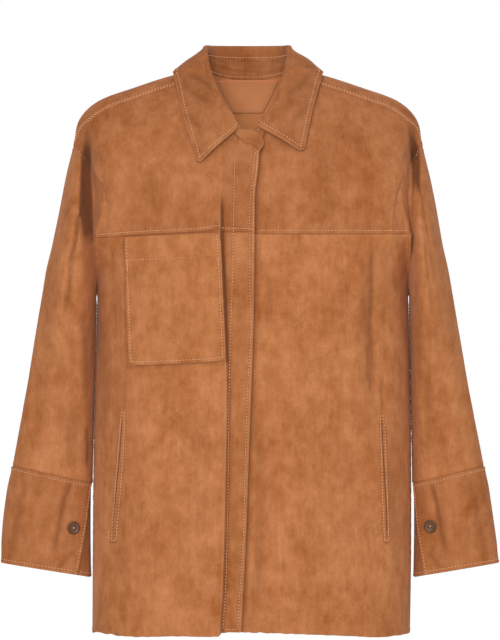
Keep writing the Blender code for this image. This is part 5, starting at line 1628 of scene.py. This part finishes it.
def horn_button(side):
    centre, normal = button_place(side)
    centre, normal = np.asarray(centre), np.asarray(normal).reshape(3)
    down = unit(np.array([0, 0, -1.0]) - normal * -normal[2])
    across = np.cross(down, normal)
    if across[0] < 0:
        across = -across
    radii = np.concatenate([[0.001], np.linspace(0.05, 0.62, 20), np.linspace(0.66, 1.0, 12)])
    turns = np.linspace(0, 2 * np.pi, 72, endpoint=False)
    r, a = np.meshgrid(radii, turns, indexing="ij")
    px, py = r * BUTTON_RADIUS * np.cos(a), r * BUTTON_RADIUS * np.sin(a)
    rim = bell(r - 0.82, 0.13)
    height = 1.7 + 1.2 * rim - 0.5 * np.clip((r - 0.9) / 0.1, 0, 1) ** 2 * 1.6
    for hx in (-1.45, 1.45):
        for hy in (-1.45, 1.45):
            height -= 1.5 * smooth((1.0 - np.hypot(px - hx, py - hy)) / 0.35)
    rows = [np.stack([px, py, height], -1)]
    for share, level in ((0.99, 0.9), (0.93, 0.25), (0.7, 0.0)):
        rows.append(np.stack([share * BUTTON_RADIUS * np.cos(turns),
                              share * BUTTON_RADIUS * np.sin(turns), np.full(72, level)], -1)[None])
    grid = np.concatenate(rows)
    verts = (centre + grid[..., :1] * across + grid[..., 1:2] * -down + grid[..., 2:] * normal)
    count = len(grid)
    index = np.arange(count * 72).reshape(count, 72)
    after = np.roll(index, -1, axis=1)
    faces = np.stack([index[:-1], after[:-1], after[1:], index[1:]], -1).reshape(-1, 4).tolist()
    faces += [index[0].tolist()[::-1], index[-1].tolist()]
    word = "right" if side < 0 else "left"
    obj = new_piece("cuff_button_turned_" + word, verts.reshape(-1, 3), faces,
                    np.zeros((verts.reshape(-1, 3).shape[0], 3)), horn, sharp=40)
    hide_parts("cuff_button_" + word)
    for sign in (-1, 1):
        line = []
        for at in np.linspace(-1, 1, 9):
            level = 2.1 - 1.3 * max(0.0, abs(at) - 0.75) / 0.25
            spot = centre + across * 1.45 * at + -down * 1.45 * at * sign + normal * level
            line.append(np.concatenate([spot, normal]))
        sew("button_cross_" + word, np.array(line), pitch=4.1, length=4.0, radius=0.42, rise=0.1)


for side in (-1, 1):
    horn_button(side)
for number in range(1, 7):
    bpy.data.objects["placket_button_%d" % number].data.materials[0] = horn

# %% [markdown]
# Now the sheets become meshes.  Each stands for one or two of the plain solids, which are hidden,
# and says what size it was cut to: the pattern piece before sewing, without the allowances.

# %% Sheets to meshes
pieces = []


def dress(name, cloth, material, nodes=None):
    obj = sheet_mesh(name + "_cloth", cloth, material)
    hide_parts(*(nodes or [name]))
    shown = 0.5 * np.linalg.norm(np.cross(cloth.point[1:, 1:] - cloth.point[:-1, :-1],
                                          cloth.point[1:, :-1] - cloth.point[:-1, 1:]),
                                 axis=-1).sum() * 1e-6
    wide = cloth.away["start"][:, -1].max() * MM
    pieces.append((name, len(obj.data.polygons), round(shown, 4), round(wide, 3),
                   round(cloth.away["bottom"][-1].max() * MM, 3)))
    return obj


dress("back_yoke", back_yoke, suede["back"])
dress("back_lower", back_lower, suede["lower"])
dress("front_right_yoke", fronts[-1, True], suede["yoke"], ["front_right_yoke", "placket_cover"])
dress("front_left_yoke", fronts[1, True], suede["yoke"])
dress("front_right_lower", fronts[-1, False], suede["lower"],
      ["front_right_lower", "placket_cover"])
dress("front_left_lower", fronts[1, False], suede["lower"])
for side, word in SIDES:
    dress("sleeve_" + word, sleeves[side], suede["sleeve"])
    dress("cuff_" + word, cuffs[side], suede["cuff"])
    dress("pocket_welt_" + word, welts[side], suede["cuff"])
dress("collar_stand", stand, suede["collar"])
dress("collar_leaf", leaf, suede["collar"])
dress("chest_pocket", pocket, suede["pocket"])
dress("neck_patch", patch, neck_leather)
for name, count, shown, wide, long_ in pieces:
    print("%-18s %6d faces, %.4f m2, %.3f x %.3f m" % (name, count, shown, wide, long_))

# %% [markdown]
# Last come the rows of stitches, in a thread a little lighter than the suede.  A row beside a
# seam follows its sheet's edge; a row that crosses a front is traced on the finished sheet.

# %% Rows of stitches
def inside(line, thick):
    """The same line on the sheet's inner face."""
    line = line.copy()
    line[:, :3] -= line[:, 3:] * thick
    line[:, 3:] *= -1
    return line


def cut(line, keep):
    """The part of a line whose points pass a test."""
    return line[[bool(keep(*row[:3])) for row in line]]


ground = {key: tree_of(cloth) for key, cloth in fronts.items()}
right_front = [ground[-1, True], ground[-1, False]]
for side, word in SIDES:
    upper, lower = fronts[side, True], fronts[side, False]
    row = upper.row("bottom", SEAM_ROW)
    if side > 0:
        row = cut(row, lambda x, y, z: x > COVER_EDGE.at("x", z) + 4)
    else:
        row = cut(row, lambda x, y, z: x < COVER_EDGE.at("x", z) - 2)
    sew("stitches_yoke_" + word, row)
    # Of the armhole rows on the fronts only the first few stitches show; the rest sink away.
    line = upper.row("top", ARMHOLE_ROW)[np.abs(upper.share[-1]) > SHOULDER_SHARE + 0.01]
    sew("stitches_armhole_" + word, cut(line, lambda x, y, z: z > -100))
share = back_yoke.share[-1]
for side, word in SIDES:
    on_side = (share * side > NECK_SHARE + 0.004) & (share * side < SHOULDER_SHARE - 0.004)
    for distance in (1.9, 5.2):
        sew("stitches_shoulder_" + word, back_yoke.row("top", distance)[on_side])
    beyond = share * side > SHOULDER_SHARE + 0.01
    sew("stitches_armhole_" + word, back_yoke.row("top", ARMHOLE_ROW)[beyond])
    outer = np.abs(back_lower.share[-1]) > BACK_CORNER + 0.006
    sew("stitches_armhole_" + word,
        back_lower.row("top", ARMHOLE_ROW)[outer & (back_lower.share[-1] * side > 0)])
    sew("stitches_side_" + word, back_lower.row("start" if side < 0 else "end", SEAM_ROW)[:-14])
    cuff = cuffs[side]
    sew("stitches_cuff_" + word, cuff.row("top", CUFF_TOP_ROW)[:-18])
    sew("stitches_cuff_" + word, cuff.row("bottom", CUFF_BOTTOM_ROW)[4:-18])
    sew("stitches_cuff_" + word, cuff.row("start", CUFF_END_ROW))
sew("stitches_back_yoke", back_yoke.row("bottom", SEAM_ROW))
for table, aside, low, high, count in ((LEFT_ROW, 0, -694, -84, 240),
                                       (RIGHT_ROW, 0, -694, -90, 240),
                                       (COVER_EDGE, -1.7, -150, -92, 60),
                                       (COVER_EDGE, -1.7, -222, -158, 60)):
    heights = np.linspace(low, high, count)
    places = np.stack([table.at("x", heights) + aside, heights], 1)
    sew("stitches_placket", traced(right_front, places))
sew("stitches_placket", traced(right_front, [(-29, -694.5), (-13, -694.5)]))
sew("stitches_collar", leaf.row("top", LEAF_ROW)[3:-3])
for edge in ("start", "end"):
    line = leaf.row(edge, LEAF_ROW)
    sew("stitches_collar", line[(leaf.share[:, 0] > 0.42)][:-5])
for edge, distance in (("top", 2.4), ("bottom", 3.0)):
    around = cut(stand.row(edge, distance), lambda x, y, z: y > 0)
    sew("stitches_stand", inside(around, COLLAR_CLOTH))
for edge in ("start", "end", "bottom"):
    sew("stitches_pocket", pocket.row(edge, POCKET_ROW)[2:-2])
sew("stitches_pocket", cut(pocket.row("top", BRIM_ROW), lambda x, y, z: x < -78))
for side, word in SIDES:
    welt, trees = welts[side], [tree_of(welts[side])]
    heights = np.linspace(welt.point[..., 2].min() + 3, welt.point[..., 2].max() - 4, 90)
    for part in (-0.62, 0.66):
        x = WELTS[side].at("x", heights) + part * WELTS[side].at("half", heights)
        sew("stitches_welt_" + word, traced(trees, np.stack([x, heights], 1)))
    z = welt.point[..., 2].min() + 2.5
    x = float(WELTS[side].at("x", z))
    sew("stitches_welt_" + word, traced(trees, [(x - 3.6, z), (x + 3.6, z)], 0.5))
for edge in ("start", "end", "bottom"):
    sew("stitches_patch", inside(patch.row(edge, PATCH_ROW)[1:-1], TRIM_CLOTH))
total = sum(make_stitches(name, thread) for name in sorted(seams))
print(total, "stitches in", len(seams), "seams")

# %% [markdown]
# The stage: a pale floor well below the hem, as the jacket hangs, white all round, and big soft
# lamps from above and both sides of the viewer.  The camera stands level and far away, so the
# jacket has hardly any perspective, as in the picture.

# %% Floor, light and camera
def build_stage():
    mesh = bpy.data.meshes.new("studio_floor")
    mesh.from_pydata([(-2.2, -2.2, -1.3), (2.2, -2.2, -1.3), (2.2, 2.2, -1.3), (-2.2, 2.2, -1.3)],
                     [], [(0, 1, 2, 3)])
    floor = bpy.data.objects.new("studio_floor", mesh)
    bpy.context.scene.collection.objects.link(floor)
    grey = (0.8, 0.8, 0.8)
    mesh.materials.append(new_material("pale_paint", grey, {"Base Color": grey + (1,),
                                                            "Roughness": 0.9})[0])


def build_lamp(name, place, target, size, power):
    lamp = bpy.data.lights.new(name, "AREA")
    lamp.size, lamp.energy = size, power
    obj = bpy.data.objects.new(name, lamp)
    obj.location = place
    obj.rotation_mode = "QUATERNION"
    obj.rotation_quaternion = (Vector(place) - Vector(target)).to_track_quat("Z", "Y")
    bpy.context.scene.collection.objects.link(obj)


def build_camera():
    lens = bpy.data.cameras.new("studio_camera")
    lens.sensor_fit = "VERTICAL"
    lens.sensor_height = 24.0
    distance, front = 12.0, -0.06
    lens.lens = 24.0 * distance / 0.8064
    lens.clip_end = 100.0
    camera = bpy.data.objects.new("studio_camera", lens)
    camera.location = (0.0025, front - distance, -0.3062)
    camera.rotation_euler = (math.pi / 2, 0, 0)
    bpy.context.scene.collection.objects.link(camera)
    bpy.context.scene.camera = camera


build_stage()
world = bpy.data.worlds.new("white_room")
world.use_nodes = True
room = world.node_tree
seen = node(room, "ShaderNodeLightPath").outputs["Is Camera Ray"]
white = room.nodes["Background"]
white.inputs["Color"].default_value = (1, 1, 1, 1)
room.links.new(add(room, times(room, seen, 0.62), 0.38), white.inputs["Strength"])
bpy.context.scene.world = world
MIDDLE = (0.0, 0.0, -0.33)
build_lamp("lamp_front", (-0.4, -5.0, 0.7), MIDDLE, 2.2, 178)
build_lamp("lamp_high", (-0.8, -2.0, 2.6), MIDDLE, 1.6, 22)
build_lamp("lamp_side", (3.0, -1.2, 0.2), MIDDLE, 1.6, 10)
build_lamp("lamp_rear", (0.6, 3.4, 1.2), MIDDLE, 2.4, 60)
build_camera()
bpy.context.scene.view_settings.view_transform = "Standard"
print("camera at", [round(v, 3) for v in bpy.context.scene.camera.location])
